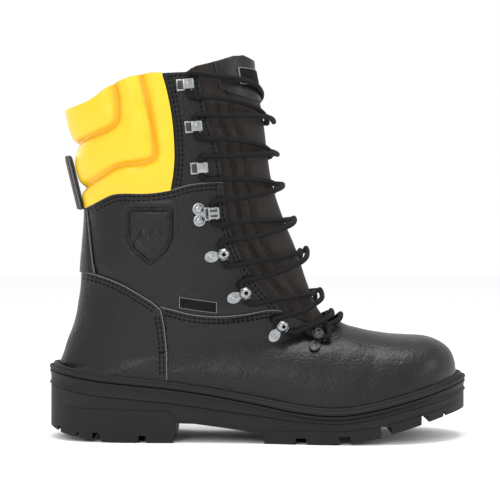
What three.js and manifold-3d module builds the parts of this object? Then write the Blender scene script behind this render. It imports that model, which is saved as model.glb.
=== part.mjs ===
// A laced forestry and mountain safety boot (right foot), built as separate named pieces.
// Millimetres, +Z up, +X towards the toe, -Y the outer (lateral) side, origin on the ground under the middle.
import * as THREE from "three";
import { mergeVertices } from "three/addons/utils/BufferGeometryUtils.js";
import Module from "manifold-3d";

const wasm = await Module();
wasm.setup();

// ---------------------------------------------------------------- driving dimensions
const soleLength = 312; // heel to toe over the welt
const soleWidth = 109; // across the ball of the foot
const shaftHeight = 284; // ground to the top of the tongue
const shaftWidth = 88; // across the leg opening

const gap = 0.35; // between pieces that are sewn, glued or riveted together
const leather = 2.2; // outer leather
const interlayer = 1.8; // toe cap, heel stiffener, cut protection and shaft padding
const lining = 1.8; // textile lining
const tongueThickness = 6;
const collarFoam = 4; // how far the collar's foam stands out of the shaft
const collarCover = 1.6; // coated cover of the collar
const backstay = 1.8; // strip over the back seam
const tabThickness = 3.4; // the doubled pull tab
const rimWidth = 6.5; // how far the welt stands out from the upper
const weltHeight = 5.5;
const plateThickness = 1.2; // anti-perforation plate
const boardThickness = 2.2; // insole board
const footbedThickness = 5;
const laceDiameter = 4.4;
const aglet = { diameter: 5.2, length: 16 };
const rivet = { radius: 3.2, height: 2 };
const hookWidth = 8;
const hookPlate = 1.2;

const depth = {
  interlayer: leather + gap,
  lining: leather + interlayer + 2 * gap,
  tongue: leather + interlayer + lining + 3 * gap,
};

// Shapes below are drawn at the design size and stretched to the driving dimensions.
const sx = soleLength / 312;
const sy = soleWidth / 109;
const sz = shaftHeight / 284;
const shaftStretch = shaftWidth / 94;
const bending = Math.max(sx, sz, 1 / sx, 1 / sz); // flat faces stray further from a curve that is stretched
const facetGap = gap * bending ** 4;

// ---------------------------------------------------------------- small tools
const clamp = (v, low, high) => Math.min(high, Math.max(low, v));
const smooth = (t) => t * t * (3 - 2 * t);

function along(points, x) {
  // height of a broken line at x
  for (let i = 1; i < points.length; i++) {
    if (x <= points[i][0] || i === points.length - 1) {
      const [x0, z0] = points[i - 1];
      const [x1, z1] = points[i];
      return z0 + (z1 - z0) * clamp((x - x0) / (x1 - x0), 0, 1);
    }
  }
}

function spline(rows, position, column) {
  // Catmull-Rom through one column of evenly numbered rows
  const i = clamp(Math.floor(position), 0, rows.length - 2);
  const f = position - i;
  const at = (k) => rows[clamp(k, 0, rows.length - 1)][column];
  const [p0, p1, p2, p3] = [at(i - 1), at(i), at(i + 1), at(i + 2)];
  return p1 + 0.5 * f * (p2 - p0 + f * (2 * p0 - 5 * p1 + 4 * p2 - p3 + f * (3 * (p1 - p2) + p3 - p0)));
}

function solidOf(geometry) {
  const bare = geometry.index ? geometry.toNonIndexed() : geometry.clone();
  bare.deleteAttribute("normal");
  bare.deleteAttribute("uv");
  const merged = mergeVertices(bare, 1e-3);
  return new wasm.Manifold(
    new wasm.Mesh({
      numProp: 3,
      vertProperties: merged.attributes.position.array,
      triVerts: new Uint32Array(merged.index.array),
    }),
  );
}

function largest(solid) {
  return solid.decompose().sort((a, b) => b.volume() - a.volume())[0];
}

function geometryOf(solid) {
  const mesh = solid.getMesh();
  return new THREE.BufferGeometry()
    .setAttribute("position", new THREE.BufferAttribute(new Float32Array(mesh.vertProperties), 3))
    .setIndex(new THREE.BufferAttribute(new Uint32Array(mesh.triVerts), 1));
}

function closedSurface(points, faces) {
  return new THREE.BufferGeometry()
    .setAttribute("position", new THREE.BufferAttribute(new Float32Array(points.flat()), 3))
    .setIndex(faces);
}

// A prism across the boot: an outline in side view (x, z), from y = low to y = high.
function sidePrism(outline, low = -200, high = 200) {
  const shape = new THREE.Shape(outline.map(([x, z]) => new THREE.Vector2(x * sx, z * sz)));
  const geometry = new THREE.ExtrudeGeometry(shape, { depth: high - low, bevelEnabled: false, curveSegments: 6 });
  return solidOf(geometry.rotateX(Math.PI / 2).translate(0, high, 0));
}

// ---------------------------------------------------------------- sole outline and levels
// Widest outline of the sole in plan, over the welt, from the heel round the outer side to the toe.
const soleOutline = [
  [-156, 0], [-151.5, -17], [-136, -32], [-110, -39.5], [-78, -42], [-40, -42.5], [0, -45.5], [40, -52],
  [75, -54.5], [102, -51.5], [126, -42], [144, -25.5], [153.5, -8], [156, 6], [153, 22], [143, 37.5],
  [126, 48.5], [100, 54.5], [72, 52], [38, 43.5], [0, 37], [-40, 36.5], [-78, 39.5], [-110, 39], [-136, 32], [-151.5, 17],
].map(([x, y]) => new THREE.Vector3(x * sx, y * sy, 0));
const outlineSamples = new THREE.CatmullRomCurve3(soleOutline, true, "centripetal").getPoints(240).slice(0, -1);

const rimTop = [
  [-156, 57], [-148, 54.5], [-118, 49.4], [-87, 46.4], [-66, 44.4], [-36, 40], [0, 33.3], [23, 28.6],
  [42, 26.2], [57, 25.8], [70, 27.2], [87, 30.6], [109, 36], [125, 40.3], [142, 45], [156, 49],
].map(([x, z]) => [x * sx, z]);
const rimBand = [[-156, 16.5], [-36, 15.6], [0, 13.5], [40, 11], [110, 11.5], [156, 14]].map(([x, z]) => [x * sx, z]);
const tread = [
  [-156, 10], [-143, 5.4], [-124, 2.2], [-105, 0], [56, 0], [68, 1.6], [86, 5], [98, 8.3],
  [116, 13.3], [125, 16], [139, 19.6], [156, 22.5],
].map(([x, z]) => [x * sx, z]);

const level = {
  tread: (x) => along(tread, x),
  band: (x) => along(rimTop, x) - along(rimBand, x), // top of the outsole
  feather: (x) => along(rimTop, x) - weltHeight, // top of the midsole
  rim: (x) => along(rimTop, x),
};
const raised = (height, by) => (x) => height(x) + by;

function planEdge(inset) {
  // the sole outline moved inwards, as two functions of x
  const n = outlineSamples.length;
  const moved = outlineSamples.map((p, i) => {
    const a = outlineSamples[(i + n - 1) % n];
    const b = outlineSamples[(i + 1) % n];
    const along2 = new THREE.Vector3().subVectors(b, a).normalize();
    return new THREE.Vector3(p.x - along2.y * inset, p.y + along2.x * inset, 0);
  });
  const side = (keep) => moved.filter(keep).map((p) => [p.x, p.y]).sort((p, q) => p[0] - q[0]);
  const axis = (x) => 6 * sy * clamp(x / (156 * sx), 0, 1);
  const heel = Math.min(...moved.map((p) => p.x));
  const toe = Math.max(...moved.map((p) => p.x));
  const lateral = side((p) => p.y <= axis(p.x));
  const medial = side((p) => p.y >= axis(p.x));
  return {
    heel,
    toe,
    lateral: (x) => (x <= heel || x >= toe ? axis(x) : along(lateral, x)),
    medial: (x) => (x <= heel || x >= toe ? axis(x) : along(medial, x)),
  };
}

const soleSteps = 34;
const soleStations = Array.from({ length: soleSteps + 1 }, (_, i) => -155.9 * sx * Math.cos((Math.PI * i) / soleSteps));

function slab(inset, low, high) {
  // a layer of the sole between two levels
  const edge = planEdge(inset);
  const xs = [edge.heel, ...soleStations.filter((x) => x > edge.heel + 0.6 && x < edge.toe - 0.6), edge.toe];
  const points = [];
  const faces = [];
  xs.forEach((x, i) => {
    const [a, b] = [edge.lateral(x), edge.medial(x)];
    points.push([x, a, low(x)], [x, b, low(x)], [x, b, high(x)], [x, a, high(x)]);
    if (i > 0) {
      for (let k = 0; k < 4; k++) {
        const [p, q] = [4 * i - 4 + k, 4 * i - 4 + ((k + 1) % 4)];
        faces.push(p, q, p + 4, q, q + 4, p + 4);
      }
    }
  });
  return solidOf(withoutSlivers(closedSurface(points, faces)));
}

function withoutSlivers(geometry) {
  // drops triangles whose corners coincide
  const merged = mergeVertices(geometry, 1e-3);
  const index = Array.from(merged.index.array);
  const kept = [];
  for (let i = 0; i < index.length; i += 3) {
    const [a, b, c] = index.slice(i, i + 3);
    if (a !== b && b !== c && a !== c) kept.push(a, b, c);
  }
  return merged.setIndex(kept);
}

// ---------------------------------------------------------------- the upper's surface
// Each row is one section of the boot, from the top of the shaft round the heel to the toe:
// front point x, z; back or bottom point x, z (null: on the sole); half width; squareness; middle's offset.
const feather = planEdge(rimWidth);
const sections = [
  [-1, 296, -139, 272, 47, 0.85, 0],
  [4, 268, -136, 247, 46.5, 0.85, 0],
  [10, 239, -132, 225, 46, 0.85, 0],
  [13, 213, -128.5, 205, 45, 0.85, 0],
  [17, 189, -127.5, 184, 43.5, 0.87, 0],
  [25, 165, -128.5, 161, 42.5, 0.9, 0],
  [35, 140, -130.5, 137, 41.5, 0.92, 0],
  [42, 119, -132.5, 113, 40, 0.94, 0.5],
  [48, 103, -137, 88, 38.5, 0.95, 1],
  [54, 93, -144.5, 66, 37.5, 0.95, 1.5],
  [58, 88.5, -148.6, null, 37, 0.94, 2],
  [61, 86, -128, null, 37, 0.93, 2],
  [64, 84, -90, null, 37.5, 0.92, 2.5],
  [68, 82.2, -45, null, 39, 0.9, 3],
  [73, 81, 0, null, 42, 0.87, 3],
  [80, 79.5, 38, null, 45.5, 0.83, 3.5],
  [89, 77.8, 70, null, 48, 0.79, 4],
  [100, 76.2, 94, null, 48.3, 0.76, 4.5],
  [113, 75.4, 114, null, 46, 0.74, 5],
  [126, 74.4, 129, null, 40.5, 0.73, 5.5],
  [136, 71, 138.5, null, 32.5, 0.73, 6],
  [143.5, 65, 144.6, null, 23, 0.74, 6.5],
  [147.5, 57, 147.8, null, 12.5, 0.75, 7],
].map(([ax, az, bx, bz, w, p, c], i) => {
  const onSole = bz === null;
  const x = bx * sx;
  const [lateral, medial] = [feather.lateral(x), feather.medial(x)];
  const half = onSole && i > 10 ? (medial - lateral) / 2 : 0;
  const stretch = i < 8 ? shaftStretch : sy;
  return {
    0: ax * sx, 1: az * sz, 2: x, 3: onSole ? level.feather(x) + gap : bz * sz,
    4: Math.max(w * stretch, 1.03 * half), 5: p, 6: c * sy, 7: half, 8: onSole ? (lateral + medial) / 2 : 0,
  };
});
const firstOpen = 10; // sections after this one stand on the sole and are open underneath

function sectionAt(s) {
  const row = Array.from({ length: 9 }, (_, k) => spline(sections, s, k));
  if (s > firstOpen) {
    // between the drawn sections the bottom edge keeps to the sole's outline
    const x = row[2];
    const [lateral, medial] = [feather.lateral(x), feather.medial(x)];
    row[3] = level.feather(x) + gap;
    row[7] = (medial - lateral) / 2;
    row[8] = (lateral + medial) / 2;
    row[4] = Math.max(row[4], 1.03 * row[7]);
  }
  return row;
}

function skinPoint(s, v) {
  // v runs from -1 (outer side, bottom) over 0 (ridge) to 1 (inner side, bottom)
  const [ax, az, bx, bz, width, power, middleA, half, middleB] = sectionAt(s);
  const end = s <= firstOpen ? 0 : clamp(half / width, 0, 0.985);
  const last = Math.PI - Math.asin(Math.pow(end, 1 / power));
  const wrapped = s <= firstOpen && Math.abs(v) > 1 ? v - 2 * Math.sign(v) : v;
  const angle = Math.abs(wrapped) * last;
  const t = (1 - Math.cos(angle)) / (1 - Math.cos(last));
  const out = width * Math.pow(Math.max(Math.sin(angle), 0), power) * Math.sign(wrapped);
  return new THREE.Vector3(ax + (bx - ax) * t, out + middleA + (middleB - middleA) * t, az + (bz - az) * t);
}

function skinNormal(s, v) {
  const step = 0.02;
  const open = s > firstOpen;
  const [v0, v1] = open ? [Math.max(v - step, -1), Math.min(v + step, 1)] : [v - step, v + step];
  const [s0, s1] = [Math.max(s - 0.15, 0), Math.min(s + 0.15, sections.length - 1)];
  const across = new THREE.Vector3().subVectors(skinPoint(s, v1), skinPoint(s, v0));
  const down = new THREE.Vector3().subVectors(skinPoint(s1, v), skinPoint(s0, v));
  const out = new THREE.Vector3().crossVectors(across, down).normalize().negate();
  const { x, z } = skinPoint(s, v);
  out.z *= clamp((z - level.feather(x)) / 14, 0, 1); // the walls stand upright on the sole
  return out.normalize();
}

function skin(s, v, out = 0) {
  return skinPoint(s, v).addScaledVector(skinNormal(s, v), out);
}

const sectionRows = [0, 1, 2, 3, 4, 5, 6, 7, 8, 9, 10, 10.2, 10.45, 10.7, 11, 12, 13, 14, 15, 16, 17, 18, 19, 20, 21, 22];
const sideColumns = 8;

// The whole boot upper as one filled solid, its surface moved outwards by `out`, a distance or a function of height.
// rise lifts its top and drop lowers its bottom, so that an inner form cuts a shell open at both ends.
function form(out, rise = 0, drop = 0) {
  const points = [];
  const faces = [];
  const width = 2 * sideColumns + 3; // a skirt point at each end of the row
  const addRow = (s, lift) => {
    const row = [];
    for (let j = -sideColumns; j <= sideColumns; j++) {
      const v = j / sideColumns;
      row.push(skin(s, v, typeof out === "function" ? out(skinPoint(s, v).z) : out));
    }
    const lower = s > firstOpen ? drop : 0;
    const skirt = (p) => new THREE.Vector3(p.x, p.y, p.z - lower);
    row.unshift(skirt(row[0]));
    row.push(skirt(row[row.length - 1]));
    if (s <= firstOpen) row[0] = row[1].clone().lerp(row[width - 2], 0.5);
    if (s <= firstOpen) row[1] = row[width - 2] = row[width - 1] = row[0].clone();
    row.forEach((p) => points.push([p.x, p.y, p.z + lift]));
  };
  if (rise > 0) addRow(0, rise);
  sectionRows.forEach((s) => addRow(s, 0));
  const rows = points.length / width;
  for (let i = 0; i < rows - 1; i++) {
    for (let j = 0; j < width; j++) {
      const [a, b] = [i * width + j, i * width + ((j + 1) % width)];
      faces.push(a, a + width, b, b, a + width, b + width);
    }
  }
  for (const [start, turn] of [[0, false], [(rows - 1) * width, true]]) {
    for (let j = 0; j < (width - 1) / 2; j++) {
      const [a, b, c, d] = [start + j, start + j + 1, start + width - 1 - j, start + width - 2 - j];
      faces.push(...(turn ? [a, c, b, b, c, d] : [a, b, c, b, d, c]));
    }
  }
  return solidOf(withoutSlivers(closedSurface(points, faces)));
}

const underSole = slab(-8, () => -60, raised(level.feather, gap)); // what the upper must stay above
const shell = (outer, inner) => form(outer).subtract(form(inner, 12, 12)).subtract(underSole);
const leatherShell = shell(0, -leather);
const interShell = shell(-depth.interlayer, -depth.interlayer - interlayer);
const liningShell = shell(-depth.lining, -depth.lining - lining);
const liningVoid = form(-depth.lining - lining - facetGap, 12, 12);

// ---------------------------------------------------------------- panel outlines in side view (x, z)
const low = -20;
const seams = {
  // line between the heel cover and what is above and in front of it
  counter: [[-160, 123.5], [-130, 123], [-118, 121], [-100, 114.5], [-87.6, 107.5], [-75.5, 100.2], [-69.8, 93], [-67.8, 81], [-66.3, 66], [-66, low]],
  // top line of the vamp, from the heel cover to the throat
  vampTop: [[-72, 99.2], [-61, 95.5], [-49, 92.2], [-29, 90.4], [-8.6, 92.3], [7.6, 95.6], [17, 94.6]],
  throat: [[17, 94.6], [30, 87], [40, 83.4], [52, 84.5], [64.5, 90]],
  // front edges of the quarter and of the upper facing
  quarterFront: [[-25.7, 187.5], [-24.9, 180], [-22.8, 162], [-17.8, 146], [-8.6, 125.5], [1.6, 112], [14, 98.5], [17, 94.6]],
  facingFront: [[-43.5, 267.5], [-38, 236], [-31, 218], [-27, 198], [-25.7, 187.5]],
  // top line of the quarter, from the back strip to the facing
  quarterTop: [[-140, 168], [-121, 172], [-109, 178], [-101, 180.3], [-79, 179.3], [-63, 181.8], [-49, 186.4], [-29, 188], [-25.7, 187.5]],
  // front edge of the padded collar
  collarFront: [[-69.2, 266], [-66, 256], [-62, 237], [-60, 217], [-60, 197], [-63, 181.8]],
  collarTop: [[-152, 236], [-148, 241.5], [-139, 243.5], [-128, 244.5], [-116, 248], [-106, 257.6], [-96, 261], [-87, 264.5], [-69.2, 266]],
  facingTop: [[-69.2, 266], [-55, 266.8], [-43.5, 267.5]],
};
const back = (points) => [...points].reverse();
const inset = (points, dx, dz) => points.map(([x, z]) => [x + dx, z + dz]);

const outlines = {
  counter: [...seams.counter, [-180, low], [-180, 123.5]],
  vamp: [
    ...inset(seams.vampTop, 0, -gap), ...inset(seams.throat.slice(1), 0, -gap), [75, 110], [180, 110], [180, low],
    ...back(inset(seams.counter.slice(4), gap, 0)),
  ],
  quarter: [
    ...inset(seams.quarterTop, 0, -gap).slice(0, -1), ...inset(seams.quarterFront, -gap, 0).slice(1, -1),
    ...back(inset(seams.vampTop, 0, gap)).slice(0, -1), ...back(inset(seams.counter.slice(0, 5), 0, gap)),
  ],
  facing: [
    ...seams.facingTop, ...seams.facingFront.slice(1, -1), [-25.7, 188],
    ...back(seams.quarterTop.slice(5, -1)).map(([x, z]) => [x, z + gap]), ...back(inset(seams.collarFront, gap, 0)).slice(1),
  ],
  collar: [
    ...seams.collarTop, ...seams.collarFront.slice(1), ...back(inset(seams.quarterTop.slice(0, 5), 0, gap)),
  ],
};

const cut = (solid, outline) => solid.intersect(sidePrism(outline));
const box = (x0, x1, z0, z1) => [[x0, z0], [x1, z0], [x1, z1], [x0, z1]];
const lateralHalf = sidePrism([[-300, -60], [300, -60], [300, 400], [-300, 400]], -200, -gap / 2);
const medialHalf = sidePrism([[-300, -60], [300, -60], [300, 400], [-300, 400]], gap / 2, 200);
const halves = { lateral: lateralHalf, medial: medialHalf };

// ---------------------------------------------------------------- the model tree
const boot = new THREE.Group();
const finishes = {
  leather: [0x17181a, 0.5, 0],
  suede: [0x2c2a29, 0.85, 0],
  rubber: [0x222325, 0.8, 0],
  foam: [0xf6ce12, 0.45, 0],
  textile: [0x2b2b2c, 0.95, 0],
  board: [0x8a7a5c, 0.9, 0],
  steel: [0x9aa0a4, 0.35, 0.9],
  fitting: [0xb9bec2, 0.3, 0.85],
  lace: [0x1b1a1a, 0.9, 0],
  label: [0xc9ccce, 0.8, 0],
};
for (const key of Object.keys(finishes)) {
  const [color, roughness, metalness] = finishes[key];
  finishes[key] = new THREE.MeshStandardMaterial({ color, roughness, metalness });
}

const fineness = 0.04; // detail smaller than this is smoothed away
function add(name, solid, finish, parent = boot) {
  const mesh = new THREE.Mesh(geometryOf(largest(solid).simplify(fineness)), finishes[finish]);
  mesh.name = name;
  parent.add(mesh);
  return mesh;
}

// ---------------------------------------------------------------- sole unit
const outsoleInset = 1.2;
const arch = [[-62.2, -5], [-59.3, 14.3], [-46, 13.9], [-13, 9.6], [3, 6.4], [5.8, -5]];
// Notches right across the tread: start, end and depth, with a sloping rear wall.
const notches = [
  [-147, -144, 3.2], [-132, -129, 3], [-120.6, -112, 5.2], [-87, -79, 5.2],
  [25.8, 37.5, 4.6], [56.7, 68.5, 4.6], [86.3, 98, 4.8], [116.5, 124.8, 4], [134, 137, 2.6],
];
const notchCutters = notches.map(([from, to, deep]) => {
  const floor = Math.max(level.tread(from * sx), level.tread(to * sx)) + deep;
  const slope = 0.3 * (to - from);
  return sidePrism([[from, -12], [to, -12], [to - slope, floor / sz], [from + slope / 4, floor / sz]]);
});
const treadChannel = 9;
const channels = [[-140, -75], [14, 118]].map(([from, to]) => {
  const z = Math.max(level.tread(from * sx), level.tread(to * sx));
  const box = new THREE.BoxGeometry((to - from) * sx, treadChannel, 2 * (z + 4));
  return solidOf(box.translate(((from + to) / 2) * sx, 0, -z));
});

function outsole() {
  let solid = slab(outsoleInset, level.tread, level.band).subtract(sidePrism(arch.map(([x, z]) => [x, z / sz])));
  for (const cutter of [...notchCutters, ...channels]) solid = solid.subtract(cutter);
  return solid;
}

const cavityFloor = (from, thickness) => [raised(level.feather, from), raised(level.feather, from + thickness)];
const insoleInset = rimWidth + depth.lining + lining + gap;
const layer = (inset, from, thickness) => slab(inset, ...cavityFloor(from, thickness)).intersect(liningVoid);
const boardLevel = plateThickness + 2 * gap;
const footbedLevel = boardLevel + boardThickness + gap;

add("outsole", outsole(), "rubber");
add("midsole", slab(0.3, raised(level.band, gap), level.feather), "rubber");
const heelClearance = cut(form(5 * gap, 0, 12), box(-200, -125, -20, 120)); // the heel's tight curve is faceted
add("welt", slab(0, raised(level.feather, gap), level.rim).subtract(form(gap, 0, 12)).subtract(heelClearance), "rubber");
add("anti_perforation_plate", layer(insoleInset, gap, plateThickness), "steel");
add("insole_board", layer(insoleInset, boardLevel, boardThickness), "board");
add("footbed", layer(insoleInset + 0.8, footbedLevel, footbedThickness), "textile");

// ---------------------------------------------------------------- upper
const toeCapRear = 92;
const protectionFront = toeCapRear - 2 * gap;

add("vamp", cut(leatherShell, outlines.vamp), "leather");
add("heel_cover", cut(leatherShell, outlines.counter), "leather");
for (const side of ["lateral", "medial"]) {
  add("quarter_" + side, cut(leatherShell, outlines.quarter).intersect(halves[side]), "leather");
  add("facing_" + side, cut(leatherShell, outlines.facing).intersect(halves[side]), "leather");
  add("shaft_padding_" + side, cut(interShell, outlines.quarter).intersect(halves[side]), "textile");
  add("facing_reinforcement_" + side, cut(interShell, outlines.facing).intersect(halves[side]), "textile");
}
add("toe_cap", cut(interShell, box(toeCapRear, 180, -20, 110)), "steel");
add("cut_protection_vamp", cut(cut(interShell, outlines.vamp), box(-200, protectionFront, -20, 120)), "textile");
add("heel_stiffener", cut(shell(-depth.interlayer - facetGap, -depth.interlayer - interlayer), outlines.counter), "board");

const liningOutline = [
  ...inset(seams.collarTop, 0, -1), ...inset(seams.facingTop.slice(1, -1), 0, -1), [-47, 266], ...inset(seams.facingFront.slice(1), -4, 0),
  ...inset(seams.quarterFront.slice(1, -1), -4, 0), ...inset(seams.throat.slice(1, -1), -2, -4), [66, 82], [75, 110], [180, 110],
  [180, -20], [-180, -20], [-180, 236],
];
add("lining", cut(liningShell, liningOutline), "textile");

// ---------------------------------------------------------------- padded collar
const collarFoot = 172 * sz;
const collarTaper = 30;
const swell = (z) => collarFoam * smooth(clamp((z - collarFoot) / collarTaper, 0, 1));
const collarInner = form((z) => gap + swell(z), 12, 12);
add("collar_cover", cut(form((z) => gap + swell(z) + collarCover).subtract(collarInner), outlines.collar), "foam");
const foamOutline = [
  ...inset(seams.collarTop, 0, -2).slice(0, -1), [-71, 263], ...inset(seams.collarFront.slice(1), -2, 0),
  ...back(inset(seams.quarterTop.slice(0, 5), 0, 2)),
];
add("collar_foam", cut(form((z) => swell(z)).subtract(form(-depth.lining + gap, 12, 12)), foamOutline), "textile");

// ---------------------------------------------------------------- back strip and pull tab
const backstayTop = 169.5;
const backstayOutline = [[-180, 123.9], [-119.5, 121.8], [-123, 142], [-124.6, 162], [-125.3, backstayTop], [-180, backstayTop]];
const backstayShell = form(gap + backstay).subtract(form(gap, 12, 12));
add("backstay", cut(backstayShell, backstayOutline), "suede");

const pullTab = new THREE.Group();
const tabWidth = 22;
const tabLength = 42;
const tabLean = 13.5; // degrees back from upright
const tabStandoff = 0.4; // from the back strip's face to the tab
const tabFoot = new THREE.Vector2(skinPoint(5, 1).x - gap - backstay - tabStandoff, backstayTop * sz + gap);
const tabOutline = new THREE.Shape();
tabOutline.moveTo(0, 0);
tabOutline.lineTo(0, tabLength - tabThickness / 2);
tabOutline.absarc(-tabThickness / 2, tabLength - tabThickness / 2, tabThickness / 2, 0, Math.PI, false);
tabOutline.lineTo(-tabThickness, 0);
const tabGeometry = new THREE.ExtrudeGeometry(tabOutline, { depth: tabWidth, bevelEnabled: false, curveSegments: 6 });
tabGeometry.rotateX(Math.PI / 2).translate(0, tabWidth / 2, 0);
pullTab.position.set(tabFoot.x, 0, tabFoot.y);
pullTab.rotation.y = -THREE.MathUtils.degToRad(tabLean);
add("pull_tab", solidOf(tabGeometry), "suede", pullTab);
boot.add(pullTab);

// ---------------------------------------------------------------- tongue
const underlap = 10; // how far the tongue reaches behind the facings
const tongueTop = [[-53, 262], [-49, 271], [-30, 276], [-10, 284], [-3, 278], [60, 278]];
const tongueOutline = [
  ...tongueTop, [120, 120], [90, 60], [68, 60], [66, 68], [54, 73], [40, 73], [28, 77], [16, 84],
  ...back(inset(seams.quarterFront.slice(1, -2), -underlap, -2)), ...back(inset(seams.facingFront.slice(1, -1), -underlap, 0)),
];
const tongueCover = 1.8;
const tongueLayers = [
  ["tongue_cover", 0, tongueCover, "leather"],
  ["tongue_cut_protection", tongueCover + 2 * facetGap, tongueThickness - tongueCover - 2 * facetGap, "textile"],
];
for (const [name, from, thick, finish] of tongueLayers) {
  add(name, cut(shell(-depth.tongue - from, -depth.tongue - from - thick), tongueOutline), finish);
}

// ---------------------------------------------------------------- lace fittings
function locate(x, z) {
  // the section s and place v of a side-view point on the upper
  const miss = (s) => {
    const [ax, az, bx, bz] = sectionAt(s);
    return (bx - ax) * (z - az) - (bz - az) * (x - ax);
  };
  let [s0, s1] = [0, sections.length - 1];
  const sign = Math.sign(miss(s0));
  for (let i = 0; i < 40; i++) {
    const middle = (s0 + s1) / 2;
    if (Math.sign(miss(middle)) === sign) s0 = middle;
    else s1 = middle;
  }
  const section = sectionAt(s0);
  const [ax, az, bx, bz, width, power, , half] = section;
  const t = clamp(((x - ax) * (bx - ax) + (z - az) * (bz - az)) / ((bx - ax) ** 2 + (bz - az) ** 2), 0, 1);
  const end = s0 <= firstOpen ? 0 : clamp(half / width, 0, 0.985);
  const last = Math.PI - Math.asin(Math.pow(end, 1 / power));
  return [s0, Math.acos(1 - t * (1 - Math.cos(last))) / last];
}

// Side-view places: where the lace passes, and the direction from the plate to it.
const hookPlaces = [[-51.5, 257.5], [-45.5, 227.5], [-41.5, 198]].map((p) => ({ at: p, kind: "hook", aim: [1, 0.08] }));
const lockPlace = { at: [-33.4, 165.2], kind: "lock", aim: [1, 0.08] };
const eyeletPlaces = [
  [[-25.6, 136.1], [8.1, 1.9]], [[-10, 107.3], [7.5, 2.9]], [[16.3, 83.6], [5.1, 7]], [[43.5, 74.3], [1.6, 7.6]],
].map(([at, aim]) => ({ at, kind: "eyelet", aim }));
const places = [...hookPlaces, lockPlace, ...eyeletPlaces]; // from the top of the boot down
const fittingNames = ["hook_1", "hook_2", "hook_3", "lock_hook", "eyelet_4", "eyelet_3", "eyelet_2", "eyelet_1"];

const laceRadius = laceDiameter / 2;
const channel = laceDiameter + 0.9; // clear height for the lace under a hook
const seat = 0.2;
const leatherFace = form(0.2); // plates are hollowed to this, just clear of the leather

function frameAt(x, z, [aimX, aimZ], side) {
  // a fitting's frame: X towards the throat, Y along the lace, Z out of the leather
  const [s, v] = locate(x * sx, z * sz);
  const place = side * v;
  const origin = skin(s, place, seat);
  const out = skinNormal(s, place);
  const aim = new THREE.Vector3(aimX, 0, aimZ).normalize();
  aim.addScaledVector(out, -aim.dot(out)).normalize();
  const upwards = new THREE.Vector3().crossVectors(out, aim);
  return { s, v: place, matrix: new THREE.Matrix4().makeBasis(aim, upwards, out).setPosition(origin) };
}

function strip(outline, width) {
  // an outline in X and Z of the fitting's frame, extruded along its Y
  const shape = new THREE.Shape(outline.map(([x, z]) => new THREE.Vector2(x, z)));
  const geometry = new THREE.ExtrudeGeometry(shape, { depth: width, bevelEnabled: false });
  return solidOf(geometry.rotateX(Math.PI / 2).translate(0, width / 2, 0));
}

function disc(radius, height, x = 0, y = 0, z = 0, stretchX = 1) {
  const geometry = new THREE.CylinderGeometry(radius, radius, height, 10);
  return solidOf(geometry.rotateX(Math.PI / 2).scale(stretchX, 1, 1).translate(x, y, z + height / 2));
}

function hookProfile(rear) {
  // a plate, a neck on the throat side and a lip back over the lace
  const roof = hookPlate + channel;
  return [
    [rear, 0], [4.2, 0], [5, 0.8], [5, roof + 0.4], [4.2, roof + hookPlate], [-2.4, roof + hookPlate],
    [-3.6, roof + 0.4], [-2.8, roof - 0.1], [-2.1, roof], [3.6, roof], [3.6, hookPlate], [rear, hookPlate],
  ];
}

const lockRivets = [[-9.4, 4.1], [-9.4, -4.1]];
function lockHook() {
  let solid = strip(hookProfile(-9), hookWidth + 1);
  for (const [x, y] of lockRivets) {
    solid = solid.add(disc(4.6, hookPlate, x, y)).add(rivetHead().translate(x, y, hookPlate - 0.3));
  }
  return solid;
}

function rivetHead() {
  const profile = [[0, 0], [1, 0], [0.9, 0.6], [0.5, 0.92], [0, 1]];
  const points = profile.map(([r, h]) => new THREE.Vector2(r * rivet.radius, h * (rivet.height + 0.3)));
  return solidOf(withoutSlivers(new THREE.LatheGeometry(points, 8).rotateX(Math.PI / 2)));
}

const ballRadius = laceRadius + 2.5;
function ballEyelet() {
  const middle = hookPlate + channel / 2;
  const ball = solidOf(withoutSlivers(new THREE.SphereGeometry(ballRadius, 10, 7).translate(0, 0, middle)));
  const tunnel = solidOf(new THREE.CylinderGeometry(laceRadius + 0.75, laceRadius + 0.75, 4 * ballRadius, 8).translate(0, 0, middle));
  const below = strip([[-20, -10], [20, -10], [20, 0], [-20, 0]], 40);
  return ball
    .add(disc(4.3, hookPlate, -8.2, 0, 0, 1.3))
    .add(strip([[-9, 0], [0, 0], [0, hookPlate], [-3.5, hookPlate + 1], [-9, hookPlate]], 5))
    .subtract(tunnel)
    .subtract(disc(1.5, 2 * ballRadius, 0, 0, middle))
    .subtract(below);
}

const makers = { hook: () => strip(hookProfile(-7.5), hookWidth), lock: lockHook, eyelet: ballEyelet };
const fittings = { lateral: [], medial: [] };
for (const [side, sign] of [["lateral", -1], ["medial", 1]]) {
  places.forEach(({ at, kind, aim }, i) => {
    const frame = frameAt(at[0], at[1], aim, sign);
    const placed = makers[kind]().transform(frame.matrix.elements);
    add(fittingNames[i] + "_" + side, placed.subtract(leatherFace), "fitting");
    fittings[side].push({ ...frame, kind, sign });
  });
}

// ---------------------------------------------------------------- lace
// Criss-cross from a bar over the lowest eyelets. Crossing places along the ridge, from the toe up.
const barSection = 10.3;
const crossings = [9, 7.6, 6, 5.1, 4.05, 3.1, 2.15];
const lastCrossing = 1.4;
const ridgeHeight = -depth.tongue + laceRadius + 0.9; // lace lying on the tongue
const fittingHeight = seat + hookPlate + channel / 2;
const hump = laceDiameter + 0.5; // how much higher the upper lace passes at a crossing

function threading({ matrix, kind, sign }) {
  // where the lace goes in below a fitting, through it, and out above it
  const reach = kind === "eyelet" ? ballRadius + laceRadius + 1 : hookWidth / 2 + laceRadius + 1;
  const x = kind === "eyelet" ? 0 : 0.9;
  const z = hookPlate + channel / 2;
  return [-reach, 0, reach].map((y) => new THREE.Vector3(x, -y * sign, z).applyMatrix4(matrix));
}

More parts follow.
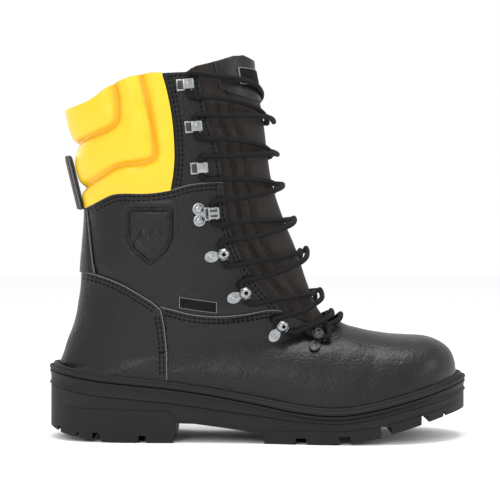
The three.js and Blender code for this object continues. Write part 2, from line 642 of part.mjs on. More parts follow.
function laceAt(s, v, crossing, share, over) {
  // a point part of the way from a fitting (share 0) to the crossing on the ridge (share 1)
  const drop = smooth(clamp((share - 0.2) / 0.78, 0, 1));
  const lift = over ? hump * smooth(clamp((share - 0.3) / 0.34, 0, 1)) : 0;
  return skin(s + (crossing - s) * share, v * (1 - share), fittingHeight + (ridgeHeight - fittingHeight) * drop + lift);
}

const shares = [0.22, 0.44, 0.64, 0.82];
function strand(from, to, crossing, over) {
  // lace points between two fittings on opposite sides
  const [start, end] = [from, to].map(({ point, v }) => ({ s: locate(point.x, point.z)[0], v }));
  const half = ({ s, v }) => shares.map((share) => laceAt(s, v, crossing, share, over));
  return [...half(start), laceAt(start.s, 0, crossing, 1, over), ...half(end).reverse()];
}

const bottomUp = { lateral: [...fittings.lateral].reverse(), medial: [...fittings.medial].reverse() };
const other = { lateral: "medial", medial: "lateral" };

function climb(start) {
  // one half of the lace, from the lowest eyelet on one side to a top hook
  const points = [];
  let side = start;
  for (let i = 0; i < places.length; i++) {
    const run = threading(bottomUp[side][i]);
    points.push(...run);
    const next = bottomUp[other[side]][i + 1];
    if (next) {
      const over = (start === "lateral") === (i % 2 === 0);
      const from = { point: run[2], v: bottomUp[side][i].v };
      points.push(...strand(from, { point: threading(next)[0], v: next.v }, crossings[i], over));
    }
    side = other[side];
  }
  return points;
}

// Both ends hang down over the collar on the inner side of the shaft.
const inner = (points) => points.map(([x, z, out]) => skin(...locate(x * sx, z * sz), out));
const onCollar = gap + collarFoam + collarCover + laceRadius + 0.5;
const hanging = (x, from, to) => {
  const count = Math.ceil((from - to) / 17);
  return Array.from({ length: count + 1 }, (_, i) => [x, from + ((to - from) * i) / count, onCollar]);
};
const climbs = { lateral: climb("lateral"), medial: climb("medial") };
const ends = {
  medial: inner([[-54.5, 267.5, fittingHeight + 1.5], [-61, 268.6, fittingHeight + 3], [-68.5, 265.5, onCollar + 0.6], [-74, 259, onCollar], ...hanging(-76, 248, 152)]),
  lateral: inner([[-24, 250.5, fittingHeight + hump], [-40, 246, fittingHeight + 3.4], [-51, 242.5, fittingHeight + 1], [-58.5, 239.5, onCollar - 0.3], ...hanging(-65.5, 229, 166)]),
};
const topHook = bottomUp.lateral[places.length - 1];
const topExit = climbs.medial[climbs.medial.length - 1];
const lastStrand = [0.22, 0.44, 0.64, 0.82, 1].map((share) => laceAt(locate(topExit.x, topExit.z)[0], topHook.v, lastCrossing, share, false));
const beyondRidge = [[1.5, 0.1, ridgeHeight + 0.6], [1.58, 0.18, ridgeHeight + 3.2]].map((p) => skin(...p));
const foot = bottomUp.lateral[0];
const footSection = locate(climbs.lateral[0].x, climbs.lateral[0].z)[0];
const bar = [-0.7, -0.35, 0, 0.35, 0.7].map((share) =>
  skin(footSection + (barSection - footSection) * (1 - Math.abs(share)), Math.abs(foot.v) * share, laceRadius + gap + 2.2),
);
const lacePoints = [
  ...[...ends.medial].reverse(), ...[...climbs.lateral].reverse(), ...bar, ...climbs.medial,
  ...lastStrand, ...beyondRidge, ...ends.lateral,
];

class LaceCurve extends THREE.CatmullRomCurve3 {
  // one section at each chosen point; the points are closer together where the lace bends
  getSpacedPoints(divisions) {
    return this.getPoints(divisions);
  }
  getTangentAt(u, target) {
    return this.getTangent(u, target);
  }
}

function tube(points, radius, sides) {
  const circle = new THREE.Shape(
    Array.from({ length: sides }, (_, i) => {
      const angle = (2 * Math.PI * i) / sides;
      return new THREE.Vector2(radius * Math.cos(angle), radius * Math.sin(angle));
    }),
  );
  const extrudePath = new LaceCurve(points, false, "centripetal");
  return solidOf(new THREE.ExtrudeGeometry(circle, { extrudePath, steps: points.length - 1, bevelEnabled: false }));
}
add("lace", tube(lacePoints, laceRadius, 6), "lace");

const tips = [[lacePoints[0], lacePoints[1]], [lacePoints[lacePoints.length - 1], lacePoints[lacePoints.length - 2]]];
tips.forEach(([tip, before], i) => {
  const mesh = add("aglet_" + (i + 1), disc(aglet.diameter / 2, aglet.length), "label");
  const away = new THREE.Vector3().subVectors(tip, before).normalize();
  mesh.quaternion.setFromUnitVectors(new THREE.Vector3(0, 0, 1), away);
  mesh.position.copy(tip).addScaledVector(away, gap / 2);
});

// ---------------------------------------------------------------- plain labels
const labelThickness = 0.9;
const labelOn = (depthBelow) => shell(gap + labelThickness - depthBelow, gap - depthBelow);
const frontStrip = sidePrism([[-300, 0], [300, 0], [300, 400], [-300, 400]], -12, 12);
add("tongue_label", cut(labelOn(depth.tongue), [[-25, 260.8], [60, 260.8], [60, 273], [-25, 273]]).intersect(frontStrip), "label");
const tagOutline = [[-57, 96.8], [-30, 92.6], [-30, 101.4], [-57, 105.4]];
add("side_tag", cut(labelOn(0), tagOutline).intersect(halves.lateral), "label");

export default boot;
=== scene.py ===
"""A laced mountain boot: leather upper, padded collar, bellows tongue, lace fittings, lace, rubber sole."""

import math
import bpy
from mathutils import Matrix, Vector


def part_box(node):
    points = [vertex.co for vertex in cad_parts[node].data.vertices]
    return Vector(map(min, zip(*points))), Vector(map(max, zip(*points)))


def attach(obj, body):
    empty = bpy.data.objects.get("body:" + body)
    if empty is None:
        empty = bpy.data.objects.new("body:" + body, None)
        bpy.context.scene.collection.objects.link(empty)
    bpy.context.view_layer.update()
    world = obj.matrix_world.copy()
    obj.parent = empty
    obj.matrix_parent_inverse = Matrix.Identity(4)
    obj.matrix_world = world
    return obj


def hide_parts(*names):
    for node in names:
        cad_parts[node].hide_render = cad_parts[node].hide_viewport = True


bl_info = {
    "name": "Laced Mountain Boot",
    "version": (1, 0, 0),
    "blender": (4, 5, 0),
    "location": "View3D > Sidebar > Boot",
    "description": "Builds the upper, collar, tongue, fittings, lace and sole of a laced boot",
    "category": "Add Mesh",
}

import bmesh
import bpy
import numpy as np
from mathutils import Matrix, Vector

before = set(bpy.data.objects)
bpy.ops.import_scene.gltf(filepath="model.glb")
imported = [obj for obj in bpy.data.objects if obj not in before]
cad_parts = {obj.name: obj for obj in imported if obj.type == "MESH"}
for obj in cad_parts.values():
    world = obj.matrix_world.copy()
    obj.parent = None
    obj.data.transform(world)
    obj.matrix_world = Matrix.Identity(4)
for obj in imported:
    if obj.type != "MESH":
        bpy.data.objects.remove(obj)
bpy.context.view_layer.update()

BODY = "boot"
TAB_BODY = "pull_tab"
SIDES = {"lateral": -1, "medial": 1}
MM = 0.001  # the boot's own measures below are in millimetres

# ------------------------------------------------------------------ sizes shared by the pieces
GAP = 0.35
LEATHER = 2.2
INTERLAYER = 1.8
LINING = 1.8
TONGUE_DEPTH = LEATHER + INTERLAYER + LINING + 3 * GAP
LINING_DEPTH = LEATHER + INTERLAYER + 2 * GAP
COLLAR_FOAM = 4.0
COLLAR_COVER = 1.6
RIM_WIDTH = 6.5
WELT_HEIGHT = 5.5
LACE_DIAMETER = 4.4
LACE_RADIUS = LACE_DIAMETER / 2
HOOK_PLATE = 1.2
HOOK_WIDTH = 8.0
LACE_CHANNEL = LACE_DIAMETER + 0.9


# ------------------------------------------------------------------ the boot's outline and surface
def broken_line(points):
    """Height of a broken line at x."""
    xs, zs = np.array(points, float).T
    return lambda x: np.interp(x, xs, zs)


def closed_spline(points, count):
    """Points on a closed centripetal Catmull-Rom curve."""
    ring = np.array(points, float)
    n = len(ring)
    at = np.arange(count) / count * n
    i = np.floor(at).astype(int)
    f = (at - i)[:, None]
    p0, p1, p2, p3 = (ring[(i + k) % n] for k in (-1, 0, 1, 2))
    d0, d1, d2 = (np.sqrt(np.linalg.norm(b - a, axis=1))[:, None] for a, b in ((p0, p1), (p1, p2), (p2, p3)))
    t1 = ((p1 - p0) / d0 - (p2 - p0) / (d0 + d1) + (p2 - p1) / d1) * d1
    t2 = ((p2 - p1) / d1 - (p3 - p1) / (d1 + d2) + (p3 - p2) / d2) * d1
    return p1 + t1 * f + (3 * (p2 - p1) - 2 * t1 - t2) * f**2 + (2 * (p1 - p2) + t1 + t2) * f**3


SOLE_OUTLINE = [
    (-156, 0), (-151.5, -17), (-136, -32), (-110, -39.5), (-78, -42), (-40, -42.5), (0, -45.5), (40, -52),
    (75, -54.5), (102, -51.5), (126, -42), (144, -25.5), (153.5, -8), (156, 6), (153, 22), (143, 37.5),
    (126, 48.5), (100, 54.5), (72, 52), (38, 43.5), (0, 37), (-40, 36.5), (-78, 39.5), (-110, 39), (-136, 32),
    (-151.5, 17),
]
OUTLINE = closed_spline(SOLE_OUTLINE, 240)

rim_top = broken_line([
    (-156, 57), (-148, 54.5), (-118, 49.4), (-87, 46.4), (-66, 44.4), (-36, 40), (0, 33.3), (23, 28.6),
    (42, 26.2), (57, 25.8), (70, 27.2), (87, 30.6), (109, 36), (125, 40.3), (142, 45), (156, 49),
])
rim_band = broken_line([(-156, 16.5), (-36, 15.6), (0, 13.5), (40, 11), (110, 11.5), (156, 14)])
tread = broken_line([
    (-156, 10), (-143, 5.4), (-124, 2.2), (-105, 0), (56, 0), (68, 1.6), (86, 5), (98, 8.3), (116, 13.3),
    (125, 16), (139, 19.6), (156, 22.5),
])


def feather(x):
    """Height of the midsole's top, where the upper stands."""
    return rim_top(x) - WELT_HEIGHT


def band(x):
    """Height of the outsole's top."""
    return rim_top(x) - rim_band(x)


def smoothed(height, x, reach=6.0):
    """A broken line with its corners rounded."""
    return sum(height(x + reach * k / 4) for k in range(-4, 5)) / 9


def moved_outline(inset):
    """The sole's outline moved inwards, as a closed ring of x, y."""
    along = np.roll(OUTLINE, -1, axis=0) - np.roll(OUTLINE, 1, axis=0)
    along /= np.linalg.norm(along, axis=1)[:, None]
    return OUTLINE + inset * np.stack([-along[:, 1], along[:, 0]], axis=1)


def split_outline(inset):
    """The moved outline's outer and inner side, each as y at x."""
    ring = moved_outline(inset)
    axis = 6 * np.clip(ring[:, 0] / 156, 0, 1)
    sides = []
    for side in (ring[ring[:, 1] <= axis], ring[ring[:, 1] >= axis]):
        side = side[np.argsort(side[:, 0])]
        sides.append((side[:, 0], side[:, 1]))
    return sides


FOOT_LATERAL, FOOT_MEDIAL = split_outline(RIM_WIDTH)


def foot_edges(x):
    return np.interp(x, *FOOT_LATERAL), np.interp(x, *FOOT_MEDIAL)


# One row per section from the top of the shaft round the heel to the toe:
# front point x, z; back or bottom point x, z (None: on the sole); half width; squareness; middle's offset.
SHAFT_WIDTH = 88.0
SECTION_ROWS = [
    (-1, 296, -139, 272, 47, 0.85, 0), (4, 268, -136, 247, 46.5, 0.85, 0), (10, 239, -132, 225, 46, 0.85, 0),
    (13, 213, -128.5, 205, 45, 0.85, 0), (17, 189, -127.5, 184, 43.5, 0.87, 0),
    (25, 165, -128.5, 161, 42.5, 0.9, 0),
    (35, 140, -130.5, 137, 41.5, 0.92, 0), (42, 119, -132.5, 113, 40, 0.94, 0.5),
    (48, 103, -137, 88, 38.5, 0.95, 1),
    (54, 93, -144.5, 66, 37.5, 0.95, 1.5), (58, 88.5, -148.6, None, 37, 0.94, 2),
    (61, 86, -128, None, 37, 0.93, 2),
    (64, 84, -90, None, 37.5, 0.92, 2.5), (68, 82.2, -45, None, 39, 0.9, 3), (73, 81, 0, None, 42, 0.87, 3),
    (80, 79.5, 38, None, 45.5, 0.83, 3.5), (89, 77.8, 70, None, 48, 0.79, 4),
    (100, 76.2, 94, None, 48.3, 0.76, 4.5),
    (113, 75.4, 114, None, 46, 0.74, 5), (126, 74.4, 129, None, 40.5, 0.73, 5.5),
    (136, 71, 138.5, None, 32.5, 0.73, 6),
    (143.5, 65, 144.6, None, 23, 0.74, 6.5), (147.5, 57, 147.8, None, 12.5, 0.75, 7),
]
FIRST_OPEN = 10  # sections after this one stand on the sole and are open underneath
LAST = len(SECTION_ROWS) - 1


def section_table():
    rows = []
    for i, (ax, az, bx, bz, width, power, middle) in enumerate(SECTION_ROWS):
        lateral, medial = foot_edges(bx)
        on_sole = bz is None
        half = (medial - lateral) / 2 if on_sole and i > FIRST_OPEN else 0
        stretched = width * (SHAFT_WIDTH / 94 if i < 8 else 1)
        foot = feather(bx) + GAP if on_sole else bz
        rows.append((ax, az, bx, foot, max(stretched, 1.03 * half), power, middle, half,
                     (lateral + medial) / 2 if on_sole else 0))
    return np.array(rows, float)


SECTIONS = section_table()


def section_at(s):
    """The nine measures of the section at s, between the drawn ones too."""
    i = np.clip(np.floor(s), 0, LAST - 1).astype(int)
    f = (s - i)[:, None]
    p0, p1, p2, p3 = (SECTIONS[np.clip(i + k, 0, LAST)] for k in (-1, 0, 1, 2))
    row = p1 + 0.5 * f * (p2 - p0 + f * (2 * p0 - 5 * p1 + 4 * p2 - p3 + f * (3 * (p1 - p2) + p3 - p0)))
    on_sole = s > FIRST_OPEN
    lateral, medial = foot_edges(row[:, 2])
    row[:, 3] = np.where(on_sole, feather(row[:, 2]) + GAP, row[:, 3])
    row[:, 7] = np.where(on_sole, (medial - lateral) / 2, row[:, 7])
    row[:, 8] = np.where(on_sole, (lateral + medial) / 2, row[:, 8])
    row[:, 4] = np.where(on_sole, np.maximum(row[:, 4], 1.03 * row[:, 7]), row[:, 4])
    return row.T


def last_angle(s, width, power, half):
    end = np.where(s <= FIRST_OPEN, 0, np.clip(half / width, 0, 0.985))
    return math.pi - np.arcsin(end ** (1 / power))


def skin_point(s, v):
    """A point of the upper: v runs from -1 (outer side) over the front ridge at 0 to 1 (inner side)."""
    ax, az, bx, bz, width, power, middle_a, half, middle_b = section_at(s)
    last = last_angle(s, width, power, half)
    wrapped = np.where((s <= FIRST_OPEN) & (np.abs(v) > 1), v - 2 * np.sign(v), v)
    angle = np.abs(wrapped) * last
    t = (1 - np.cos(angle)) / (1 - np.cos(last))
    out = width * np.maximum(np.sin(angle), 0) ** power * np.sign(wrapped)
    return np.stack([ax + (bx - ax) * t, out + middle_a + (middle_b - middle_a) * t, az + (bz - az) * t],
        axis=1)


def skin_normal(s, v):
    step = 0.02
    on_sole = s > FIRST_OPEN
    v0 = np.where(on_sole, np.maximum(v - step, -1), v - step)
    v1 = np.where(on_sole, np.minimum(v + step, 1), v + step)
    across = skin_point(s, v1) - skin_point(s, v0)
    down = skin_point(np.minimum(s + 0.15, LAST), v) - skin_point(np.maximum(s - 0.15, 0), v)
    out = -np.cross(across, down)
    out /= np.linalg.norm(out, axis=1)[:, None]
    place = skin_point(s, v)
    out[:, 2] *= np.clip((place[:, 2] - feather(place[:, 0])) / 14, 0, 1)
    return out / np.linalg.norm(out, axis=1)[:, None]


def skin(s, v, out=0.0):
    """Points on the upper, moved outwards."""
    s, v = (np.atleast_1d(np.asarray(q, float)) for q in (s, v))
    return skin_point(s, v) + skin_normal(s, v) * np.broadcast_to(np.asarray(out, float), s.shape)[:, None]


def locate(x, z):
    """Section s and place v (0 to 1) of side-view points on the upper."""
    x, z = (np.atleast_1d(np.asarray(q, float)) for q in (x, z))

    def miss(s):
        ax, az, bx, bz = section_at(s)[:4]
        return (bx - ax) * (z - az) - (bz - az) * (x - ax)

    low, high = np.zeros_like(x), np.full_like(x, LAST)
    sign = np.sign(miss(low))
    for _ in range(40):
        middle = (low + high) / 2
        same = np.sign(miss(middle)) == sign
        low, high = np.where(same, middle, low), np.where(same, high, middle)
    ax, az, bx, bz, width, power, _, half, _ = section_at(low)
    t = np.clip(((x - ax) * (bx - ax) + (z - az) * (bz - az)) / ((bx - ax) ** 2 + (bz - az) ** 2), 0, 1)
    last = last_angle(low, width, power, half)
    return low, np.arccos(1 - t * (1 - np.cos(last))) / last


def smooth(t):
    t = np.clip(t, 0, 1)
    return t * t * (3 - 2 * t)


def distance_to(line, x, z, closed=False):
    """Side-view distance from points to a broken line."""
    points = np.array(line + line[:1] if closed else line, float)
    best = np.full(np.shape(x), 1e9)
    for (x0, z0), (x1, z1) in zip(points[:-1], points[1:]):
        length = max((x1 - x0) ** 2 + (z1 - z0) ** 2, 1e-9)
        t = np.clip(((x - x0) * (x1 - x0) + (z - z0) * (z1 - z0)) / length, 0, 1)
        best = np.minimum(best, np.hypot(x - x0 - t * (x1 - x0), z - z0 - t * (z1 - z0)))
    return best


def rounded(line, rounds=2):
    """A broken line with its corners cut to a smooth curve, its ends kept."""
    points = [np.array(p, float) for p in line]
    for _ in range(rounds):
        cut = [points[0]]
        for a, b in zip(points[:-1], points[1:]):
            cut += [0.75 * a + 0.25 * b, 0.25 * a + 0.75 * b]
        points = cut + [points[-1]]
    return [tuple(p) for p in points]


def resampled(line, count, by="length"):
    """count + 1 points along a broken line, evenly by length or by its first measure."""
    points = np.array(line, float)
    steps = np.linalg.norm(np.diff(points, axis=0),
        axis=1) if by == "length" else np.abs(np.diff(points[:, 0]))
    at = np.concatenate([[0], np.cumsum(steps)])
    where = np.linspace(0, at[-1], count + 1)
    return np.stack([np.interp(where, at, points[:, k]) for k in range(points.shape[1])], axis=1)


# ------------------------------------------------------------------ seam lines in side view (x, z)
SEAM = {
    "counter_top": [(-133, 123.3), (-118, 121), (-100, 114.5), (-87.6, 107.5), (-75.5, 100.2), (-70.5, 95.6)],
    "counter_front": [(-70.5, 95.6), (-68.6, 87), (-67.4, 78), (-66.3, 66), (-66, 45)],
    "vamp_top": [(-70.5, 97.8), (-61, 95.5), (-49, 92.2), (-29, 90.4), (-8.6, 92.3), (7.6, 95.6), (17, 94.6)],
    "throat": [(17, 94.6), (30, 87), (40, 83.4), (52, 84), (61, 86)],
    "quarter_front": [(-25.7, 187.5), (-24.9, 180), (-22.8, 162), (-17.8, 146), (-8.6, 125.5), (1.6, 112),
        (14, 98.5), (17, 94.6)],
    "facing_front": [(-43.5, 267.5), (-38, 236), (-31, 218), (-27, 198), (-25.7, 187.5)],
    "quarter_top": [(-127.8, 169.6), (-121, 172), (-109, 178), (-101, 180.3), (-79, 179.3), (-63, 181.8),
        (-49, 186.4), (-29, 188), (-25.7, 187.5)],
    "collar_front": [(-69.2, 266), (-66, 256), (-62, 237), (-60, 217), (-60, 197), (-63, 181.8)],
    "collar_top": [(-134.7, 243.8), (-128, 244.5), (-116, 248), (-106, 257.6), (-96, 261), (-87, 264.5),
        (-69.2, 266)],
    "facing_top": [(-69.2, 266), (-55, 266.8), (-43.5, 267.5)],
}
SPLIT_X = -63.0  # the quarter's top line passes from the collar to the facing here
quarter_top_rear = [p for p in SEAM["quarter_top"] if p[0] <= SPLIT_X]
QUARTER_LOWER = SEAM["counter_top"] + SEAM["vamp_top"][1:]
SHIELD = [(-94.5, 168.5), (-63, 168.5), (-63, 149), (-67, 139.5), (-78.6, 129.5), (-90.2, 139.5),
    (-94.5, 149)]
SHIELD_PEAKS = [(-90, 146), (-83.5, 156), (-79.5, 150.5), (-73.5, 160), (-67.5, 148)]


# ------------------------------------------------------------------ mesh helpers
def object_of(name, bm, materials=()):
    """A finished object from a bmesh in metres."""
    mesh = bpy.data.meshes.new(name)
    bm.to_mesh(mesh)
    bm.free()
    piece = bpy.data.objects.new(name, mesh)
    bpy.context.scene.collection.objects.link(piece)
    for material in materials:
        mesh.materials.append(material)
    mesh.shade_smooth()
    return piece


def declare(piece, slot, *nodes, body=BODY):
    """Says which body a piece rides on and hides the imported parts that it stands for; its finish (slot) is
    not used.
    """
    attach(piece, body)
    if nodes:
        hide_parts(*nodes)
    return piece


def thicken(piece, thickness, rim_material=0, bevel=0.5, segments=2):
    """Gives a sheet its thickness inwards and rounds its cut edges. Sizes in millimetres."""
    wall = piece.modifiers.new("thickness", "SOLIDIFY")
    wall.thickness = thickness * MM
    wall.offset = -1
    wall.use_even_offset = False
    wall.material_offset_rim = rim_material
    if bevel:
        edge = piece.modifiers.new("edge", "BEVEL")
        edge.width = bevel * MM
        edge.segments = segments
        edge.limit_method = "ANGLE"
        edge.angle_limit = math.radians(50)
        edge.harden_normals = False
        edge.use_clamp_overlap = True
    return piece


def coons(top, right, bottom, left, us, ws):
    """Places inside four edge lines. Top and bottom run the same way, left and right run down."""
    nu, nw = len(top) - 1, len(left) - 1
    grid = np.linspace(0, 1, nu + 1), np.linspace(0, 1, nw + 1)

    def on(edge, at, steps):
        return np.stack([np.interp(at, steps, edge[:, k]) for k in range(2)], axis=1)

    t, b = on(top, us, grid[0]), on(bottom, us, grid[0])
    l, r = on(left, ws, grid[1]), on(right, ws, grid[1])
    u, w = us[:, None], ws[:, None]
    corners = ((1 - u) * (1 - w) * top[0] + u * (1 - w) * top[-1] + (1 - u) * w * bottom[0] + u * w
        * bottom[-1])
    return (1 - w) * t + w * b + (1 - u) * l + u * r - corners


def put_in(whole, part):
    """Adds one bmesh to another and frees it."""
    mesh = bpy.data.meshes.new("part")
    part.to_mesh(mesh)
    part.free()
    whole.from_mesh(mesh)
    bpy.data.meshes.remove(mesh)


def panel(name, edges, counts, out, materials, sides=(-1, 1), merge=True):
    """A sheet over the upper between four edge lines of places, mirrored to each side.

    out(s, v, x, z, u, w) gives how far each point stands out of the skin.
    """
    nu, nw = counts
    top, right, bottom, left = edges
    top, bottom = resampled(top, nu), resampled(bottom, nu)
    right, left = resampled(right, nw), resampled(left, nw)
    sheet = bmesh.new()
    for side in sides:
        half = bmesh.new()
        bmesh.ops.create_grid(half, x_segments=nu, y_segments=nw, size=1)
        flat = np.array([p.co[:2] for p in half.verts])
        us, ws = (flat[:, 0] + 1) / 2, (1 - flat[:, 1]) / 2
        places = coons(top, right, bottom, left, us, ws)
        s, v = places[:, 0], np.clip(places[:, 1], 0, 1)
        base = skin_point(s, v)
        height = out(s, v, base[:, 0], base[:, 2], us, ws)
        for vert, co in zip(half.verts, skin(s, side * v, height) * MM):
            vert.co = co
        half.normal_update()
        half.verts.index_update()
        half.faces.ensure_lookup_table()
        middle = half.faces[:][len(half.faces) // 2]
        where = int(middle.verts[0].index)
        outward = skin_normal(s[where:where + 1], side * v[where:where + 1])[0]
        if middle.normal.dot(Vector(outward)) < 0:
            bmesh.ops.reverse_faces(half, faces=half.faces[:])
        put_in(sheet, half)
    if merge:
        bmesh.ops.remove_doubles(sheet, verts=sheet.verts[:], dist=0.03 * MM)
    return object_of(name, sheet, materials)


def creases(x, z):
    """Soft unevenness of worn-in leather, in millimetres."""
    broad = np.sin(0.11 * x + 0.9 * np.sin(0.07 * z)) * np.sin(0.09 * z + 0.05 * x + 1.3)
    fine = np.sin(0.31 * x + 1.7 * np.sin(0.13 * z + 0.4)) * np.sin(0.27 * z - 0.12 * x)
    return 0.32 * broad + 0.12 * fine


# ------------------------------------------------------------------ materials
def new_material(name, color, roughness, metallic=0.0, coat=0.0, coat_roughness=0.3, sheen=0.0, specular=0.5):
    material = bpy.data.materials.new(name)
    material.use_nodes = True
    shader = material.node_tree.nodes["Principled BSDF"]
    shader.inputs["Base Color"].default_value = (*color[:3], 1)
    shader.inputs["Roughness"].default_value = roughness
    shader.inputs["Metallic"].default_value = metallic
    shader.inputs["Coat Weight"].default_value = coat
    shader.inputs["Coat Roughness"].default_value = coat_roughness
    shader.inputs["Sheen Weight"].default_value = sheen
    shader.inputs["Specular IOR Level"].default_value = specular
    return material


def shade(color, factor, more=0.0):
    return tuple(min(1, factor * c + more) for c in color)


class Nodes:
    """Short ways to add nodes to a material."""

    def __init__(self, material):
        self.tree = material.node_tree
        self.shader = self.tree.nodes["Principled BSDF"]

    def add(self, kind, inputs=None, **settings):
        node = self.tree.nodes.new(kind)
        for key, value in settings.items():
            setattr(node, key, value)
        for key, value in (inputs or {}).items():
            if isinstance(value, bpy.types.NodeSocket):
                self.tree.links.new(value, node.inputs[key])
            else:
                node.inputs[key].default_value = value
        return node

    def place(self, scale=(1, 1, 1), source="Object"):
        where = self.add("ShaderNodeTexCoord").outputs[source]
        return self.add("ShaderNodeMapping", {"Vector": where, "Scale": scale}).outputs[0]

    def noise(self, where, scale, detail=3.0, roughness=0.5, distortion=0.0):
        inputs = {"Vector": where, "Scale": scale, "Detail": detail, "Roughness": roughness,
            "Distortion": distortion}
        return self.add("ShaderNodeTexNoise", inputs).outputs["Fac"]

    def cells(self, where, scale, feature="F1", randomness=1.0):
        inputs = {"Vector": where, "Scale": scale, "Randomness": randomness}
        return self.add("ShaderNodeTexVoronoi", inputs, feature=feature).outputs["Distance"]

    def ramp(self, fac, stops):
        node = self.add("ShaderNodeValToRGB", {"Fac": fac})
        elements = node.color_ramp.elements
        while len(elements) < len(stops):
            elements.new(0.5)
        for element, (position, color) in zip(elements, stops):
            element.position = position
            element.color = (*color, 1) if isinstance(color, tuple) else (color, color, color, 1)
        return node.outputs["Color"]

    def mix(self, fac, a, b, blend="MIX"):
        node = self.add("ShaderNodeMix", data_type="RGBA", blend_type=blend)
        for socket, value in ((node.inputs[0], fac), (node.inputs[6], a), (node.inputs[7], b)):
            if isinstance(value, bpy.types.NodeSocket):
                self.tree.links.new(value, socket)
            else:
                socket.default_value = (*value, 1) if isinstance(value, tuple) else value
        return node.outputs[2]

    def math(self, operation, a, b=0.5, clamp=False):
        return self.add("ShaderNodeMath", {0: a, 1: b}, operation=operation, use_clamp=clamp).outputs[0]

    def spread(self, value, low, high):
        return self.add("ShaderNodeMapRange", {"Value": value, "To Min": low, "To Max": high}).outputs[0]

    def bump(self, heights):
        """Bumps on top of each other: (height, strength, distance in millimetres)."""
        normal = None
        for height, strength, distance in heights:
            inputs = {"Height": height, "Strength": strength, "Distance": distance * MM}
            if normal is not None:
                inputs["Normal"] = normal
            normal = self.add("ShaderNodeBump", inputs).outputs[0]
        self.tree.links.new(normal, self.shader.inputs["Normal"])

    def feed(self, key, value):
        self.tree.links.new(value, self.shader.inputs[key])


def leather_material(name, color, roughness, grain=1.0, coat=0.25):
    """Pebbled leather: rounded grain with fine creases between, a little painted shine (a paler colour) on
    the high spots, mixed with random cloudy tone.
    """
    material = new_material(name, color, roughness, coat=coat, coat_roughness=0.24, specular=0.27)
    n = Nodes(material)
    where = n.place()
    bent = n.add("ShaderNodeVectorMath", {0: where}, operation="ADD")
    wander = n.add("ShaderNodeTexNoise", {"Vector": where, "Scale": 260.0, "Detail": 2.0}).outputs["Color"]
    shift = n.add("ShaderNodeVectorMath", {0: wander}, operation="SCALE")
    shift.inputs["Scale"].default_value = 0.0016
    n.tree.links.new(shift.outputs[0], bent.inputs[1])
    pebbles = n.cells(bent.outputs[0], 540.0 / grain, feature="SMOOTH_F1")
    fine = n.cells(bent.outputs[0], 1500.0 / grain)
    folds = n.noise(where, 95.0, detail=4.0, roughness=0.6, distortion=0.6)
    cloudy = n.noise(where, 28.0, detail=3.0)
    n.bump([(folds, 0.6, 0.8), (n.math("SUBTRACT", 1.0, pebbles), 0.8, 0.42 * grain), (fine, 0.35, 0.12)])
    # Painted shine: the pebble tops get the paler colour (worn, pale), mixed with random tone from the cloudy
    # noise.
    high_spots = n.math("ADD", n.math("MULTIPLY", pebbles, 0.5), n.math("MULTIPLY", cloudy, 0.5))
    worn = n.ramp(high_spots, [(0.35, 0.0), (0.75, 1.0)])
    pale = shade(color, 1.6, 0.0008)
    n.feed("Base Color", n.mix(worn, color, pale))
    n.feed("Roughness", n.spread(cloudy, roughness - 0.08, roughness + 0.1))
    return material


MATERIALS = {}


def make_materials(look):
    black = tuple(look.leather_color)
    yellow = tuple(look.collar_color)
    rubber = tuple(look.rubber_color)
    MATERIALS["leather"] = leather_material("pebbled leather", black, 0.4, coat=0.08)
    MATERIALS["tongue"] = leather_material("soft tongue leather", (0.011, 0.0082, 0.0068), 0.6, grain=0.7,
        coat=0.0)
    MATERIALS["suede"] = suede_material("grey suede", (0.035, 0.037, 0.041))
    # Pale grey of the cut edges; on the fine lines along the seams it also stands for a painted highlight.
    MATERIALS["raw_edge"] = new_material("cut leather edge", (0.115, 0.12, 0.135), 0.8, specular=0.2)
    MATERIALS["thread"] = thread_material("waxed thread", (0.0015, 0.0015, 0.0016))
    MATERIALS["welt_thread"] = thread_material("welt thread", (0.022, 0.022, 0.023))
    MATERIALS["collar"] = coated_material("coated collar", yellow)
    MATERIALS["rubber"] = rubber_material("sole rubber", rubber)
    MATERIALS["rubber_knurled"] = rubber_material("knurled sole rubber", rubber, knurled=True)
    MATERIALS["metal"] = metal_material("satin nickel", (0.33, 0.34, 0.35), 0.24)
    # Dark nickel: the colour of the hidden plates, and painted shade on the hook plates, the lock's slots and
    # the lowest eyelet.
    MATERIALS["dark_nickel_and_shade"] = metal_material("dark nickel", (0.07, 0.072, 0.075), 0.36)
    MATERIALS["lace"] = lace_material("braided lace", (0.0042, 0.004, 0.0038))
    MATERIALS["lining"] = mesh_textile_material("mesh lining", (0.012, 0.0125, 0.013))
    MATERIALS["felt"] = mesh_textile_material("footbed felt", (0.04, 0.04, 0.043))
    MATERIALS["label"] = mesh_textile_material("woven label", (0.006, 0.006, 0.0063))
    MATERIALS["label_edge"] = new_material("label edge", (0.16, 0.165, 0.17), 0.8)
    MATERIALS["clear_tip"] = new_material("aglet", (0.006, 0.006, 0.0065), 0.25, coat=0.3, coat_roughness=0.1)
    # A near-black colour painted as the shade inside the eyelets' holes.
    MATERIALS["hole"] = new_material("dark hole", (0.004, 0.004, 0.004), 0.9)


def suede_material(name, color):
    material = new_material(name, color, 0.9, sheen=0.06)
    n = Nodes(material)
    where = n.place()
    nap = n.noise(where, 1400.0, detail=4.0, roughness=0.7)
    cloud = n.noise(where, 90.0, detail=3.0)
    n.bump([(nap, 0.6, 0.25), (cloud, 0.4, 0.4)])
    n.feed("Base Color", n.mix(n.ramp(cloud, [(0.3, 0.0), (0.7, 1.0)]), shade(color, 0.7),
        shade(color, 1.45)))
    return material


def thread_material(name, color):
    material = new_material(name, color, 0.6, specular=0.12)
    n = Nodes(material)
    n.bump([(n.noise(n.place(), 3000.0, detail=2.0), 0.4, 0.08)])
    return material


